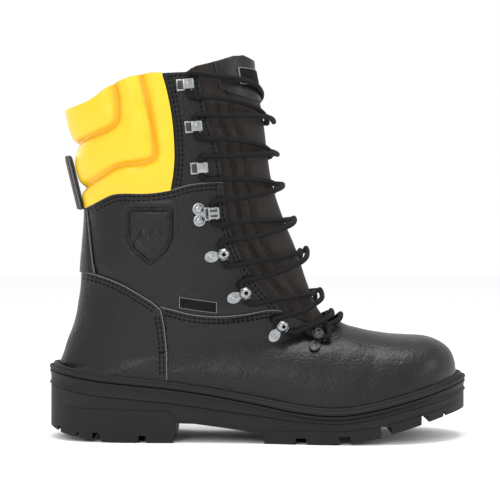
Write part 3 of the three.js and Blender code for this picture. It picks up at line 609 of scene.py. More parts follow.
def coated_material(name, color):
    """Smooth coated fabric: a fine even grain, and painted shade (a deeper colour) in the sewn channels."""
    material = new_material(name, color, 0.42, coat=0.12, coat_roughness=0.4, specular=0.45)
    n = Nodes(material)
    where = n.place()
    grain = n.cells(where, 1700.0)
    slack = n.noise(where, 60.0, detail=4.0, roughness=0.55)
    n.bump([(slack, 0.35, 0.7), (grain, 0.22, 0.08)])
    # Painted shade: the sewn channels, where shade falls, get a deeper and more orange colour.
    depth = n.add("ShaderNodeAttribute", attribute_name="channel").outputs["Fac"]
    deep = (min(1, color[0] * 0.93), color[1] * 0.62, color[2] * 0.4)
    shaded = n.mix(depth, color, deep)
    n.feed("Base Color", n.mix(n.math("MULTIPLY", slack, 0.16), shaded,
        (color[0], color[1] * 1.12, color[2] + 0.03)))
    return material


def rubber_material(name, color, knurled=False):
    """Matte moulded rubber, with a diamond relief on the knurled band, its grooves painted dark as shade and
    its ridges painted pale as highlight.
    """
    material = new_material(name, color, 0.62, specular=0.28)
    n = Nodes(material)
    where = n.place()
    skin_noise = n.noise(where, 700.0, detail=3.0)
    stains = n.noise(where, 22.0, detail=5.0, roughness=0.65)
    heights = [(stains, 0.12, 0.4), (skin_noise, 0.25, 0.1)]
    if knurled:
        split = n.add("ShaderNodeSeparateXYZ", {0: where}).outputs
        around = n.math("ADD", split[0], n.math("MULTIPLY", split[1], 0.6))
        waves = []
        for sign in (1, -1):
            slanted = n.math("ADD", n.math("MULTIPLY", around, 1700.0),
                n.math("MULTIPLY", split[2], sign * 1900.0))
            waves.append(n.math("ABSOLUTE", n.math("SINE", slanted, 0)))
        diamonds = n.math("MINIMUM", waves[0], waves[1])
        heights.append((diamonds, 0.7, 0.5))
        # Painted light: the knurl's grooves get a darker colour as shade and its ridges a paler one as
        # highlight.
        n.feed("Base Color", n.mix(diamonds, shade(color, 0.5), shade(color, 5.0)))
    else:
        n.feed("Base Color", n.mix(stains, shade(color, 0.8), shade(color, 1.35)))
    n.feed("Roughness", n.spread(stains, 0.5, 0.72))
    n.bump(heights)
    return material


def metal_material(name, color, roughness):
    material = new_material(name, color, roughness, metallic=1.0)
    n = Nodes(material)
    where = n.place()
    marks = n.noise(n.place((1, 1, 6)), 900.0, detail=3.0)
    tarnish = n.noise(where, 240.0, detail=4.0, roughness=0.6)
    n.bump([(marks, 0.12, 0.05)])
    n.feed("Roughness", n.spread(tarnish, roughness - 0.06, roughness + 0.18))
    n.feed("Base Color", n.mix(n.ramp(tarnish, [(0.45, 0.0), (0.75, 1.0)]), color, shade(color, 0.62)))
    return material


def lace_material(name, color):
    """Round braid: two sets of slanted strands in the lace's own UV map, with painted highlight on their
    crowns and painted shade between them.
    """
    material = new_material(name, color, 0.8, specular=0.16)
    n = Nodes(material)
    split = n.add("ShaderNodeSeparateXYZ", {0: n.add("ShaderNodeTexCoord").outputs["UV"]}).outputs
    waves = []
    for sign in (1, -1):
        slanted = n.math("ADD", n.math("MULTIPLY", split[0], 6.2832 * 4),
            n.math("MULTIPLY", split[1], sign * 6.2832))
        waves.append(n.math("ABSOLUTE", n.math("SINE", slanted, 0)))
    strands = n.math("MAXIMUM", waves[0], waves[1])
    n.bump([(strands, 0.9, 0.35)])
    # Painted light: the strand crowns get a paler colour as highlight and the gaps between them a darker one
    # as shade.
    n.feed("Base Color", n.mix(strands, shade(color, 0.5), shade(color, 2.1)))
    return material


def mesh_textile_material(name, color):
    material = new_material(name, color, 0.95, specular=0.15)
    n = Nodes(material)
    where = n.place()
    holes = n.cells(where, 520.0, randomness=0.15)
    n.bump([(holes, 0.7, 0.35)])
    # Painted shade: the hollows of the mesh cells get a darker colour and the rims between them a paler one.
    n.feed("Base Color", n.mix(n.ramp(holes, [(0.25, 0.0), (0.6, 1.0)]), shade(color, 0.45),
        shade(color, 1.3)))
    return material


# ------------------------------------------------------------------ upper: leather panels
OVERLAP_LIFT = 0.8  # how far a panel that lies on its neighbour rises at its edge, in millimetres
EDGE_REACH = 9.0


def over_edge(x, z, *lines):
    """Rise of a panel towards the edges where it lies over its neighbour."""
    away = np.minimum.reduce([distance_to(line, x, z) for line in lines])
    return OVERLAP_LIFT * np.exp(-((away / EDGE_REACH) ** 2))


def places(line):
    points = np.array(line, float)
    return np.stack(locate(points[:, 0], points[:, 1]), axis=1)


def seam_places(line, rounds=2):
    return places(rounded(line, rounds))


def row(s0, s1, v0, v1, count=24):
    return np.stack([np.linspace(s0, s1, count), np.linspace(v0, v1, count)], axis=1)


def joined(*lines):
    """Edge lines one after the other, without the doubled point where they meet."""
    out = [lines[0]]
    for line in lines[1:]:
        out.append(line[1:] if np.allclose(out[-1][-1], line[0], atol=1e-3) else line)
    return np.concatenate(out)


BACK_V = 1.0


def soften_foot(piece, rounds=60):
    """Evens out the turn where the upper starts to stand on the sole. The sheet's edges stay."""
    mesh = bmesh.new()
    mesh.from_mesh(piece.data)
    at = np.array([v.co[:] for v in mesh.verts]) / MM
    line = 49.5 + (at[:, 0] + 148.6) * 0.189
    near = (np.abs(at[:, 2] - line) < 15) & (at[:, 0] < 10)
    soft = [v for v, chosen in zip(mesh.verts, near) if chosen and not v.is_boundary]
    for _ in range(rounds):
        bmesh.ops.smooth_vert(mesh, verts=soft, factor=0.5, use_axis_x=True, use_axis_y=True, use_axis_z=True)
    mesh.to_mesh(piece.data)
    mesh.free()
    piece.data.shade_smooth()


def heel_cover_piece(materials):
    top = seam_places(SEAM["counter_top"])
    top[0] = (top[0][0], BACK_V)
    right = seam_places(SEAM["counter_front"][:-1] + [(-66, 43)], 2)
    s_corner = locate([-66.0], feather(np.array([-66.0])) + GAP)[0][0]
    right = right[right[:, 0] < s_corner]
    right = np.concatenate([right, [(s_corner, 1.0)]])
    left = row(top[0][0], FIRST_OPEN, 1, 1)
    bottom = row(FIRST_OPEN, s_corner, 1, 1, 60)

    def out(s, v, x, z, u, w):
        return creases(x, z) * smooth(w * 3) * smooth((1 - w) * 3) + over_edge(x, z, SEAM["counter_top"],
            SEAM["counter_front"])

    piece = panel("heel_cover_leather", (top, right, bottom, left), (110, 90), out, materials)
    soften_foot(piece)
    return thicken(piece, 2.0, rim_material=1)


def vamp_piece(materials):
    ridge_start = locate([64.5], [84.0])[0][0]
    seam = seam_places(SEAM["vamp_top"])
    throat = seam_places(SEAM["throat"])
    ridge = row(ridge_start, LAST, 0, 0, 60)
    top = joined(seam, throat, ridge)
    s_corner = locate([-65.0], feather(np.array([-65.0])) + GAP)[0][0]
    left = seam_places([(-70.0, 97.0), (-68.2, 87), (-67.0, 78), (-65.9, 66), (-65.6, 55)])
    left[0] = top[0]
    left = np.concatenate([left, [(s_corner, 1.0)]])
    bottom = row(s_corner, LAST, 1, 1, 60)
    right = row(LAST, LAST, 0, 1)

    def out(s, v, x, z, u, w):
        ball = np.exp(-(((x - 62) / 24) ** 2)) * np.exp(-(((v - 0.25) / 0.4) ** 2))
        flex = 0.35 * ball * np.sin((x - 62) / 5.2 + 1.1 * np.sin(v * 9))
        under = 0.5 * (x < -40) * np.exp(-(((x + 66) / 6) ** 2))
        worn = creases(x, z) * 0.8 * smooth(w * 4) * smooth((1 - w) * 4)
        return worn + flex + over_edge(x, z, SEAM["vamp_top"]) - under

    piece = panel("vamp_leather", (top, right, bottom, left), (230, 90), out, materials)
    soften_foot(piece)
    close_toe(piece)
    return thicken(piece, 2.0, rim_material=1)


def close_toe(piece):
    """Closes the small opening at the front of the toe and rounds it off."""
    mesh = bmesh.new()
    mesh.from_mesh(piece.data)
    front = max(v.co.x for v in mesh.verts) - 2.2 * MM
    edges = [e for e in mesh.edges if e.is_boundary and all(v.co.x > front for v in e.verts)]
    ends = [v for v in {v for e in edges for v in e.verts} if sum(e in edges for e in v.link_edges) == 1]
    if len(ends) == 2:
        edges.append(mesh.edges.new(ends))
    filled = bmesh.ops.triangle_fill(mesh, edges=edges, use_beauty=True)["geom"]
    faces = [g for g in filled if isinstance(g, bmesh.types.BMFace)]
    new_faces = set(faces)
    inner = {e for f in faces for e in f.edges if len(e.link_faces) == 2 and set(e.link_faces) <= new_faces}
    bmesh.ops.subdivide_edges(mesh, edges=list(inner), cuts=2, use_grid_fill=True)
    near = [v for v in mesh.verts if v.co.x > front - 3 * MM and not v.is_boundary]
    for _ in range(14):
        bmesh.ops.smooth_vert(mesh, verts=near, factor=0.5, use_axis_x=True, use_axis_y=True, use_axis_z=True)
    bmesh.ops.recalc_face_normals(mesh, faces=mesh.faces[:])
    mesh.to_mesh(piece.data)
    mesh.free()
    piece.data.shade_smooth()


def quarter_piece(materials):
    top = seam_places(SEAM["quarter_top"])
    top[0] = (top[0][0], BACK_V)
    right = seam_places(SEAM["quarter_front"])
    bottom = seam_places(QUARTER_LOWER)
    bottom[0] = (bottom[0][0], BACK_V)
    left = row(top[0][0], bottom[0][0], 1, 1)

    def out(s, v, x, z, u, w):
        stamped = distance_to(SHIELD, x, z, closed=True)
        peaks = distance_to(SHIELD_PEAKS, x, z)
        groove = -1.5 * np.exp(-((stamped / 1.5) ** 2)) - 1.1 * np.exp(-((peaks / 1.3) ** 2))
        under = -0.45 * np.exp(-((distance_to(QUARTER_LOWER, x, z) / 5) ** 2))
        bulge = 0.5 * np.exp(-(((stamped - 3.6) / 2) ** 2))
        puff = 0.6 * smooth(w * 5) * smooth((1 - w) * 5) * smooth(u * 5) * smooth((1 - u) * 5)
        return creases(x, z) * 0.8 + puff + bulge + groove + under + over_edge(x, z, SEAM["quarter_top"])

    shapes = panel("quarter_leather", (top, right, bottom, left), (170, 110), out, materials)
    return thicken(shapes, 2.0, rim_material=1)


def facing_piece(materials):
    top = seam_places(SEAM["facing_top"])
    right = seam_places(SEAM["facing_front"])
    bottom = seam_places([(-63.0, 181.8), (-49, 186.4), (-29, 188), (-25.7, 187.5)])
    left = seam_places(SEAM["collar_front"])

    def out(s, v, x, z, u, w):
        under = -0.4 * np.exp(-((distance_to(SEAM["quarter_top"], x, z) / 5) ** 2))
        return creases(x, z) * 0.8 + under + 0.35 * np.exp(-((distance_to(SEAM["collar_front"], x,
            z) / 4) ** 2))

    piece = panel("facing_leather", (top, right, bottom, left), (50, 110), out, materials)
    return thicken(piece, 2.0, rim_material=1)


def stitch_places(line, offset, pitch):
    """Side-view points every pitch along a seam, moved to one side of it."""
    points = np.array(rounded(line, 3), float)
    steps = np.linalg.norm(np.diff(points, axis=0), axis=1)
    count = max(2, int(steps.sum() / pitch))
    even = resampled(points, count)
    along = np.gradient(even, axis=0)
    along /= np.linalg.norm(along, axis=1)[:, None] + 1e-9
    moved = even + offset * np.stack([-along[:, 1], along[:, 0]], axis=1)
    return moved[1:-1]


STITCH_PITCH = 3.4
# seam, how far its rows lie to the left of its direction, and how far the thread stands out of the skin
STITCHED = [
    ("counter_top", (-2.2, -5.0), 0.75), ("counter_front", (-2.2, -5.0), 0.75),
    ("vamp_top", (-2.2, -5.0), 0.8),
    ("quarter_top", (-2.2, -5.0), 0.8), ("quarter_front", (-2.4, -5.2), 0.15), ("facing_front", (-2.4,), 0.1),
    ("collar_front", (3.0, 5.6), 0.15), ("facing_top", (-2.4,), 0.1),
]


def stitch_rows():
    """All rows of stitches on the upper, each as places and heights in order."""
    for name, offsets, height in STITCHED:
        for offset in offsets:
            points = stitch_places(SEAM[name], offset, STITCH_PITCH)
            s, v = locate(points[:, 0], points[:, 1])
            keep = v < 0.985
            for side in (-1, 1):
                lift = creases(points[:, 0], points[:, 1]) * 0.8
                yield skin(s, side * v, height + lift)[keep], skin_normal(s, side * v)[keep]


def capsule(length, radius):
    """A stitch: a short thread, thinner at both ends, lying along X. In millimetres."""
    stitch = bmesh.new()
    bmesh.ops.create_cone(stitch, cap_ends=True, segments=6, radius1=radius, radius2=radius,
        depth=length * 0.62)
    bmesh.ops.rotate(stitch, verts=stitch.verts[:], cent=(0, 0, 0),
        matrix=Matrix.Rotation(math.pi / 2, 3, "Y"))
    caps = [f for f in stitch.faces if len(f.verts) == 6]
    for cap in caps:
        grown = bmesh.ops.extrude_face_region(stitch, geom=[cap])["geom"]
        tips = [g for g in grown if isinstance(g, bmesh.types.BMVert)]
        way = 1 if tips[0].co.x > 0 else -1
        bmesh.ops.translate(stitch, verts=tips, vec=(way * length * 0.19, 0, -radius * 0.5))
        bmesh.ops.scale(stitch, verts=tips, vec=(1, 0.35, 0.35),
            space=Matrix.Translation((0, 0, radius * 0.5)))
        bmesh.ops.delete(stitch, geom=[cap], context="FACES_ONLY")
    return stitch


def stitch_mesh(rows, length, radius):
    """One mesh of stitches along rows of points with normals."""
    template = capsule(length, radius)
    shape = bpy.data.meshes.new("stitch")
    template.to_mesh(shape)
    template.free()
    sewn = bmesh.new()
    for points, normals in rows:
        for k in range(len(points) - 1):
            middle = (points[k] + points[k + 1]) / 2
            along = Vector(points[k + 1] - points[k])
            if along.length > 3 * length or along.length < 0.2 * length:
                continue
            along.normalize()
            up = Vector(normals[k])
            across = up.cross(along).normalized()
            up = along.cross(across)
            before = len(sewn.verts)
            sewn.from_mesh(shape)
            turn = Matrix((along, across, up)).transposed().to_4x4()
            sewn.verts.ensure_lookup_table()
            bmesh.ops.transform(sewn, matrix=Matrix.Translation(Vector(middle)) @ turn,
                verts=sewn.verts[before:])
    bpy.data.meshes.remove(shape)
    bmesh.ops.scale(sewn, verts=sewn.verts[:], vec=(MM, MM, MM))
    return sewn


def cut_edge_and_highlight_lines():
    """The pale cut edges of the panels that lie on their neighbours, as fine rounded lines of leather: partly
    the cut edge's own paler tone, partly a painted highlight along the edge.
    """
    lines = [("quarter_top", 1.0), ("counter_top", 0.95), ("counter_front", 0.85), ("vamp_top", 0.8)]
    edges = bmesh.new()
    for side in (-1, 1):
        for name, height in lines + [("back", 1.4)]:
            line = BACKSTAY_FRONT if name == "back" else SEAM[name]
            points = resampled(rounded(line, 3), 90)
            s, v = locate(points[:, 0], points[:, 1])
            keep = points[:, 1] > feather(points[:, 0]) + 5
            low = height + 0.8 * creases(points[:, 0], points[:, 1])
            tube = tube_mesh(skin(s, side * v, low)[keep], 0.42, 8, 4.0)
            put_in(edges, tube)
    return edges


# ------------------------------------------------------------------ collar, tongue, back strip, pull tab
CHANNELS = [
    [(-104, 263), (-101, 252), (-99.5, 241), (-100, 231), (-107, 226), (-120, 222.5), (-138, 214)],
    [(-85, 268), (-80, 250), (-76, 232), (-73, 211), (-74, 205), (-80, 202), (-99, 201), (-110, 195),
        (-128, 185)],
]


def swell(z):
    return COLLAR_FOAM * smooth((z - 172) / 30)


def collar_piece(materials):
    top = seam_places(SEAM["collar_top"])
    top[0] = (top[0][0], BACK_V)
    right = seam_places(SEAM["collar_front"])
    bottom = seam_places(quarter_top_rear)
    bottom[0] = (bottom[0][0], BACK_V)
    left = row(top[0][0], bottom[0][0], 1, 1)
    seams = [rounded(line, 2) for line in CHANNELS]

    def out(s, v, x, z, u, w):
        sewn = np.minimum.reduce([distance_to(line, x, z) for line in seams])
        edge = distance_to(SEAM["collar_front"], x, z)
        foot = distance_to(quarter_top_rear, x, z)
        puff = 3.4 * (1 - np.exp(-((sewn / 8) ** 1.5))) - 2.4 * np.exp(-((sewn / 2.4) ** 2))
        flat = smooth(edge / 10) * smooth(foot / 9)
        wrinkle = 0.5 * np.sin(x / 4.1 + 2 * np.sin(z / 7)) * np.exp(-(((sewn - 4) / 4) ** 2))
        return GAP + COLLAR_COVER + swell(z) + puff * (0.25 + 0.75 * flat) + (wrinkle + 0.35 * creases(x,
            z)) * flat - 0.6

    piece = panel("padded_collar", (top, right, bottom, left), (120, 130), out, materials)
    # The channel attribute is the mask of the painted shade that the collar's material lays in the sewn
    # channels.
    channel = piece.data.attributes.new("channel", "FLOAT", "POINT")
    at = np.array([v.co[:] for v in piece.data.vertices]) / MM
    sewn = np.minimum.reduce([distance_to(line, at[:, 0], at[:, 2]) for line in seams])
    channel.data.foreach_set("value", 0.9 * np.exp(-((sewn / 2.6) ** 2)))
    return thicken(piece, 7.4, bevel=2.6, segments=4)


TONGUE_TOP = [(-53, 262), (-49, 271), (-30, 276), (-10, 283.5), (2, 281)]
TONGUE_FOOT = [(16, 84), (28, 77), (40, 73), (54, 73), (64, 72)]


def tongue_rear():
    """The tongue's edge behind the facings, from the top down."""
    facing = [(x - 10, z) for x, z in SEAM["facing_front"][1:-1]]
    quarter = [(x - 10, z - 2) for x, z in SEAM["quarter_front"][1:-2]]
    return [TONGUE_TOP[0]] + facing + quarter + [TONGUE_FOOT[0]]


def lacing_edge():
    return SEAM["facing_front"][:-1] + SEAM["quarter_front"]


def tongue_piece(materials):
    top = seam_places(TONGUE_TOP, 1)
    top[-1] = (top[-1][0], 0)
    bottom = seam_places(TONGUE_FOOT, 1)
    bottom[-1] = (13.0, 0)
    left = seam_places(tongue_rear(), 2)
    right = row(top[-1][0], 13.0, 0, 0, 80)

    def out(s, v, x, z, u, w):
        front = distance_to(lacing_edge(), x, z)
        inside = np.where(u > 0.35, front, front * 0.2)
        ribs = -2.6 * np.exp(-(((inside - 11) / 1.9) ** 2)) - 2.8 * np.exp(-(((inside - 22) / 2.1) ** 2))
        folds = 0.55 * np.sin(z / 4.3 + 1.4 * np.sin(x / 6)) * np.exp(-(((inside - 15) / 9) ** 2))
        return -TONGUE_DEPTH + 0.5 + (ribs + folds) * smooth((1 - w) * 6) * smooth(w * 9) + 0.4 * creases(x,
            z)

    piece = panel("bellows_tongue", (top, right, bottom, left), (66, 200), out, materials)
    return thicken(piece, 5.4, rim_material=1, bevel=1.4, segments=3)


def tongue_flap_piece(materials):
    """The plain leather facing on the tongue's top, whose upper edge folds over; here that edge is only
    raised a little.
    """
    line = [(-30, 275.5), (-10, 283), (2, 280.5)]
    top = seam_places(line, 1)
    top[-1] = (top[-1][0], 0)
    left = seam_places([(-30, 275.5), (-27.5, 266), (-25, 257)], 1)
    bottom = seam_places([(-25, 257), (-14, 253), (-2, 251.5), (6, 251)], 1)
    bottom[-1] = (bottom[-1][0], 0)
    right = row(top[-1][0], bottom[-1][0], 0, 0)

    def out(s, v, x, z, u, w):
        return -TONGUE_DEPTH + 1.9 + 0.8 * creases(x, z) + 0.5 * np.exp(-((w / 0.12) ** 2))

    piece = panel("tongue_top_facing", (top, right, bottom, left), (60, 50), out, materials)
    return thicken(piece, 1.6, rim_material=1)


def label_shape(corners, depth_below):
    """A small sewn label between four side-view corners: top rear, top front, bottom front, bottom rear."""
    a, b, c, d = (places([corner])[0] for corner in corners)
    edges = (np.stack([a, b]), np.stack([b, c]), np.stack([d, c]), np.stack([a, d]))

    def out(s, v, x, z, u, w):
        border = np.minimum(np.minimum(u, 1 - u) * 24, np.minimum(w, 1 - w) * 8)
        return GAP + 0.55 - depth_below - 0.25 * np.exp(-((border - 1.0) ** 2) / 0.2)

    return edges, out


def side_tag_piece(materials):
    edges, out = label_shape([(-57, 105), (-30, 101.2), (-30, 93.4), (-57, 97.2)], -0.4)
    piece = panel("side_tag_cloth", edges, (60, 24), out, materials, sides=(-1,))
    edge_band(piece, 60, 24)
    return thicken(piece, 0.8, rim_material=1, bevel=0.2, segments=1)


def edge_band(piece, columns, lines, skip_front=False):
    """Gives the outermost faces of a grid its second material."""
    for index, face in enumerate(piece.data.polygons):
        column, line = index % columns, (index // columns) % lines
        front = columns if skip_front else columns - 1 - column
        if min(column, front, line, lines - 1 - line) < 1:
            face.material_index = 1


def tongue_label_piece(materials):
    corner = [(-12.5, 273), (2, 273), (4, 260.8), (-10.5, 260.8)]
    a, b, c, d = (places([point])[0] for point in corner)
    b, c = (b[0], 0.0), (c[0], 0.0)
    edges = (np.stack([a, b]), np.stack([b, c]), np.stack([d, c]), np.stack([a, d]))

    def out(s, v, x, z, u, w):
        return np.full_like(u, 2.9 - TONGUE_DEPTH)

    piece = panel("tongue_label_cloth", edges, (30, 26), out, materials)
    edge_band(piece, 30, 26, skip_front=True)
    return thicken(piece, 0.7, rim_material=1, bevel=0.2, segments=1)


BACKSTAY_FRONT = [(-125.3, 169.5), (-124.6, 162), (-123, 142), (-119.5, 121.8)]


def backstay_piece(materials):
    left = seam_places(BACKSTAY_FRONT)
    top = np.stack([left[0], (left[0][0] - 0.12, 1.0)])
    bottom = np.stack([left[-1], (left[-1][0] - 0.05, 1.0)])
    right = row(top[-1][0], bottom[-1][0], 1, 1)

    def out(s, v, x, z, u, w):
        return GAP + 1.8 + 0.5 * creases(x, z) - 0.8 * np.exp(-((u / 0.12) ** 2))

    piece = panel("back_strip", (top, right, bottom, left), (30, 90), out, materials)
    return thicken(piece, 1.7, rim_material=1)


def pull_tab_piece(materials):
    """A stiff doubled loop of suede: two layers, rounded top and cut edges."""
    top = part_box("pull_tab")[1][2] / MM
    foot = np.array([-131.05, 0.0, 169.85])
    lean = math.radians(13.5)
    tab = bmesh.new()
    width, length = 22.0, (top - foot[2]) / math.cos(lean)
    outline = []
    corner = 6.0
    for side in (1, -1):
        angles = np.linspace(0, math.pi / 2, 9)
        middle_y, middle_z = width / 2 - corner, length - corner - 0.6
        arc = [(side * (middle_y + corner * math.cos(a)), middle_z + corner * math.sin(a)) for a in angles]
        outline += arc if side == 1 else arc[::-1]
    outline = [(width / 2 - 0.4, 0.2)] + outline + [(-width / 2 + 0.4, 0.2)]
    for near, far in ((0.0, 1.55), (1.85, 3.4)):
        pulled_out(tab, [(-near, y, z) for y, z in outline], (near - far, 0, 0))
    bmesh.ops.recalc_face_normals(tab, faces=tab.faces[:])
    for face in tab.faces:
        if abs(face.normal.x) < 0.5:
            face.material_index = 1
    edges = [e for e in tab.edges if e.calc_face_angle(0) > 1.0]
    bmesh.ops.bevel(tab, geom=edges, affect="EDGES", offset=0.4, segments=2, profile=0.5, material=-1)
    bmesh.ops.triangulate(tab, faces=[f for f in tab.faces if len(f.verts) > 4])
    turn = Matrix.Rotation(-lean, 4, "Y")
    bmesh.ops.transform(tab, matrix=Matrix.Translation(Vector(foot)) @ turn, verts=tab.verts[:])
    bmesh.ops.scale(tab, verts=tab.verts[:], vec=(MM, MM, MM))
    return object_of("suede_pull_tab", tab, materials)


def lining_piece(materials):
    """The textile inside of the shaft, seen from above."""
    line = [(-133.5, 242.3), (-128, 243), (-116, 246.5), (-106, 256), (-96, 259.5), (-87, 263),
        (-69.2, 264.5), (-55, 265.3), (-47, 265.5)]
    top = seam_places(line)
    top[0] = (top[0][0], BACK_V)
    right = seam_places([(-47, 265.5), (-42, 236), (-35, 218), (-31, 198), (-29.5, 186), (-27, 162),
        (-22, 146), (-12, 125)])
    left = row(top[0][0], 8.6, 1, 1)
    bottom = row(8.6, right[-1][0], 1, right[-1][1], 40)

    def out(s, v, x, z, u, w):
        return -LINING_DEPTH + 0.5 + 0.4 * creases(x, z)

    piece = panel("shaft_lining", (top, right, bottom, left), (80, 100), out, materials)
    return thicken(piece, 1.7, bevel=0.6)


# ------------------------------------------------------------------ sole unit
def swept_rim(name, profile, materials, count=640):
    """A closed profile carried round the sole's outline. profile(x) gives inset and height pairs."""
    ring = closed_spline(SOLE_OUTLINE, count)
    along = np.roll(ring, -1, axis=0) - np.roll(ring, 1, axis=0)
    along /= np.linalg.norm(along, axis=1)[:, None]
    inwards = np.stack([-along[:, 1], along[:, 0]], axis=1)
    rows = profile(ring[:, 0])
    rim = bmesh.new()
    loops = []
    for inset, height in rows:
        flat = ring + inset * inwards
        loops.append([rim.verts.new((x * MM, y * MM, z * MM)) for (x, y),
            z in zip(flat, np.broadcast_to(height, len(ring)))])
    for a, b in zip(loops, loops[1:] + loops[:1]):
        for k in range(len(ring)):
            rim.faces.new((a[k], a[k - 1], b[k - 1], b[k]))
    bmesh.ops.recalc_face_normals(rim, faces=rim.faces[:])
    return object_of(name, rim, materials)


def welt_piece(materials):
    def profile(x):
        foot, rim = smoothed(feather, x) + GAP, smoothed(rim_top, x)
        return [
            (7.6, foot), (0.9, foot), (0.35, foot + 0.5), (0.1, foot + 1.2), (0.15, foot + 2.2),
            (0.7, foot + 2.8),
            (1.1, foot + 2.75), (1.5, foot + 2.2), (2.6, foot + 2.2), (3.0, foot + 2.9), (3.2, rim - 1.0),
            (3.6, rim - 0.3), (4.3, rim), (5.2, rim), (5.9, rim - 0.4), (6.6, rim - 1.4), (7.6, rim - 1.8),
        ]

    return swept_rim("stitched_welt", profile, materials)


def midsole_piece(materials):
    def profile(x):
        top, low = smoothed(feather, x), smoothed(band, x) + GAP
        deep = top - low
        return [
            (9, low), (0.9, low), (0.3, low + 0.4), (0.3, low + 1.2), (1.0, low + 1.8),
            (1.3, low + 0.35 * deep),
            (1.1, low + 0.6 * deep), (0.9, top - 2.4), (0.4, top - 1.9), (0.3, top - 0.8), (0.9, top - 0.1),
            (9, top - 0.1),
        ]

    return swept_rim("midsole_band", profile, materials)


KNURL_FLOOR = broken_line([
    (-156, 25), (-64, 22.5), (-60, 15.5), (-46, 15.2), (-13, 11), (3, 8), (8, 9), (60, 9.5), (86, 12.5),
    (116, 20), (156, 30),
])
ARCH = [(-62.2, -5), (-59.3, 14.3), (-46, 13.9), (-13, 9.6), (3, 6.4), (5.8, -5)]
NOTCHES = [
    (-147, -144, 3.2), (-132, -129, 3), (-120.6, -112, 5.2), (-87, -79, 5.2), (25.8, 37.5, 4.6),
    (56.7, 68.5, 4.6), (86.3, 98, 4.8), (116.5, 124.8, 4), (134, 137, 2.6),
]


def pulled_out(solid, outline, way):
    """A flat outline of 3-D points pulled out along a direction."""
    face = solid.faces.new([solid.verts.new(point) for point in outline])
    grown = bmesh.ops.extrude_face_region(solid, geom=[face])["geom"]
    bmesh.ops.translate(solid, verts=[g for g in grown if isinstance(g, bmesh.types.BMVert)], vec=way)


def prism_across(outline, y0=-80.0, y1=80.0):
    """A solid with a side-view outline, right across the sole."""
    solid = bmesh.new()
    pulled_out(solid, [(x * MM, y0 * MM, z * MM) for x, z in outline], (0, (y1 - y0) * MM, 0))
    bmesh.ops.recalc_face_normals(solid, faces=solid.faces[:])
    return object_of("cutter", solid)


def carve(piece, cutters):
    """Cuts solids out of a piece and throws the cutters away."""
    for cutter in cutters:
        cut = piece.modifiers.new("cut", "BOOLEAN")
        cut.operation = "DIFFERENCE"
        cut.solver = "EXACT"
        cut.object = cutter
    shape = bpy.data.meshes.new_from_object(piece.evaluated_get(bpy.context.evaluated_depsgraph_get()))
    old = piece.data
    piece.modifiers.clear()
    piece.data = shape
    bpy.data.meshes.remove(old)
    for cutter in cutters:
        mesh = cutter.data
        bpy.data.objects.remove(cutter)
        bpy.data.meshes.remove(mesh)
    return piece


def outsole_piece(materials):
    """A block between its tread and the midsole, with lugs, a heel breast and a channel down the middle."""
    ring = moved_outline(1.2)
    lateral, medial = split_outline(1.2)
    first, last = ring[:, 0].min() + 0.02, ring[:, 0].max() - 0.02
    turn = np.linspace(0, math.pi, 260)
    xs = (first + last) / 2 - (last - first) / 2 * np.cos(turn)
    y0, y1 = np.interp(xs, *lateral), np.interp(xs, *medial)
    top, low = smoothed(band, xs), tread(xs)
    floor = np.clip(KNURL_FLOOR(xs), low + 0.8, top - 0.8)
    ends = np.minimum(1, np.minimum(xs - first, last - xs) / 4)
    rows = [(0.5, top), (0.7, top - 0.3), (0.7, floor + 0.5), (0.0, floor - 0.1), (0.0, low + 0.6),
        (0.5, low)]
    block = bmesh.new()
    loops = []
    for inset, z in rows:
        loops.append([block.verts.new((x * MM, (y + inset * e) * MM, h * MM)) for x, y, h,
            e in zip(xs, y0, z, ends)])
    for inset, z in rows[::-1]:
        loops.append([block.verts.new((x * MM, (y - inset * e) * MM, h * MM)) for x, y, h,
            e in zip(xs, y1, z, ends)])
    around = loops + loops[:1]
    for index, (a, b) in enumerate(zip(around[:-1], around[1:])):
        for k in range(len(xs) - 1):
            face = block.faces.new((a[k], a[k + 1], b[k + 1], b[k]))
            knurled = index in (1, len(loops) // 2 + 3) and -143 < xs[k] < 152
            face.material_index = 1 if knurled else 0
    for k in (0, len(xs) - 1):
        block.faces.new([loop[k] for loop in loops])
    bmesh.ops.recalc_face_normals(block, faces=block.faces[:])
    piece = object_of("lugged_outsole", block, materials)
    cutters = [prism_across(ARCH)]
    for start, end, deep in NOTCHES:
        roof = max(tread(start), tread(end)) + deep
        slope = 0.3 * (end - start)
        cutters.append(prism_across([(start, -12), (end, -12), (end - slope, roof),
            (start + slope / 4, roof)]))
    for start, end in ((-140, -75), (14, 118)):
        roof = max(tread(start), tread(end)) + 4
        cutters.append(prism_across([(start, -6), (end, -6), (end, roof), (start, roof)], -4.5, 4.5))
    carve(piece, cutters)
    piece.data.shade_smooth()
    edge = piece.modifiers.new("edge", "BEVEL")
    edge.width = 0.5 * MM
    edge.segments = 2
    edge.limit_method = "ANGLE"
    edge.angle_limit = math.radians(40)
    normals = piece.modifiers.new("even", "WEIGHTED_NORMAL")
    normals.keep_sharp = True
    return piece


def welt_stitches():
    """Long stitches in the welt's groove, all round but the heel's back."""
    ring = closed_spline(SOLE_OUTLINE, 2000)
    steps = np.linalg.norm(np.diff(ring, axis=0, append=ring[:1]), axis=1)
    at = np.cumsum(steps)
    along = np.roll(ring, -1, axis=0) - np.roll(ring, 1, axis=0)
    along /= np.linalg.norm(along, axis=1)[:, None]
    inwards = np.stack([-along[:, 1], along[:, 0]], axis=1)
    picks = [int(np.searchsorted(at, d)) for d in np.arange(2, at[-1] - 2, 5.2)]
    points = []
    for k in picks:
        x, y = ring[k] + 2.05 * inwards[k]
        z = smoothed(feather, np.array([ring[k][0]]))[0] + GAP + 2.45
        points.append((x, y, z))
    return [(np.array(points), np.array([(-0.5 * inwards[k][0], -0.5 * inwards[k][1], 0.86) for k in picks]))]


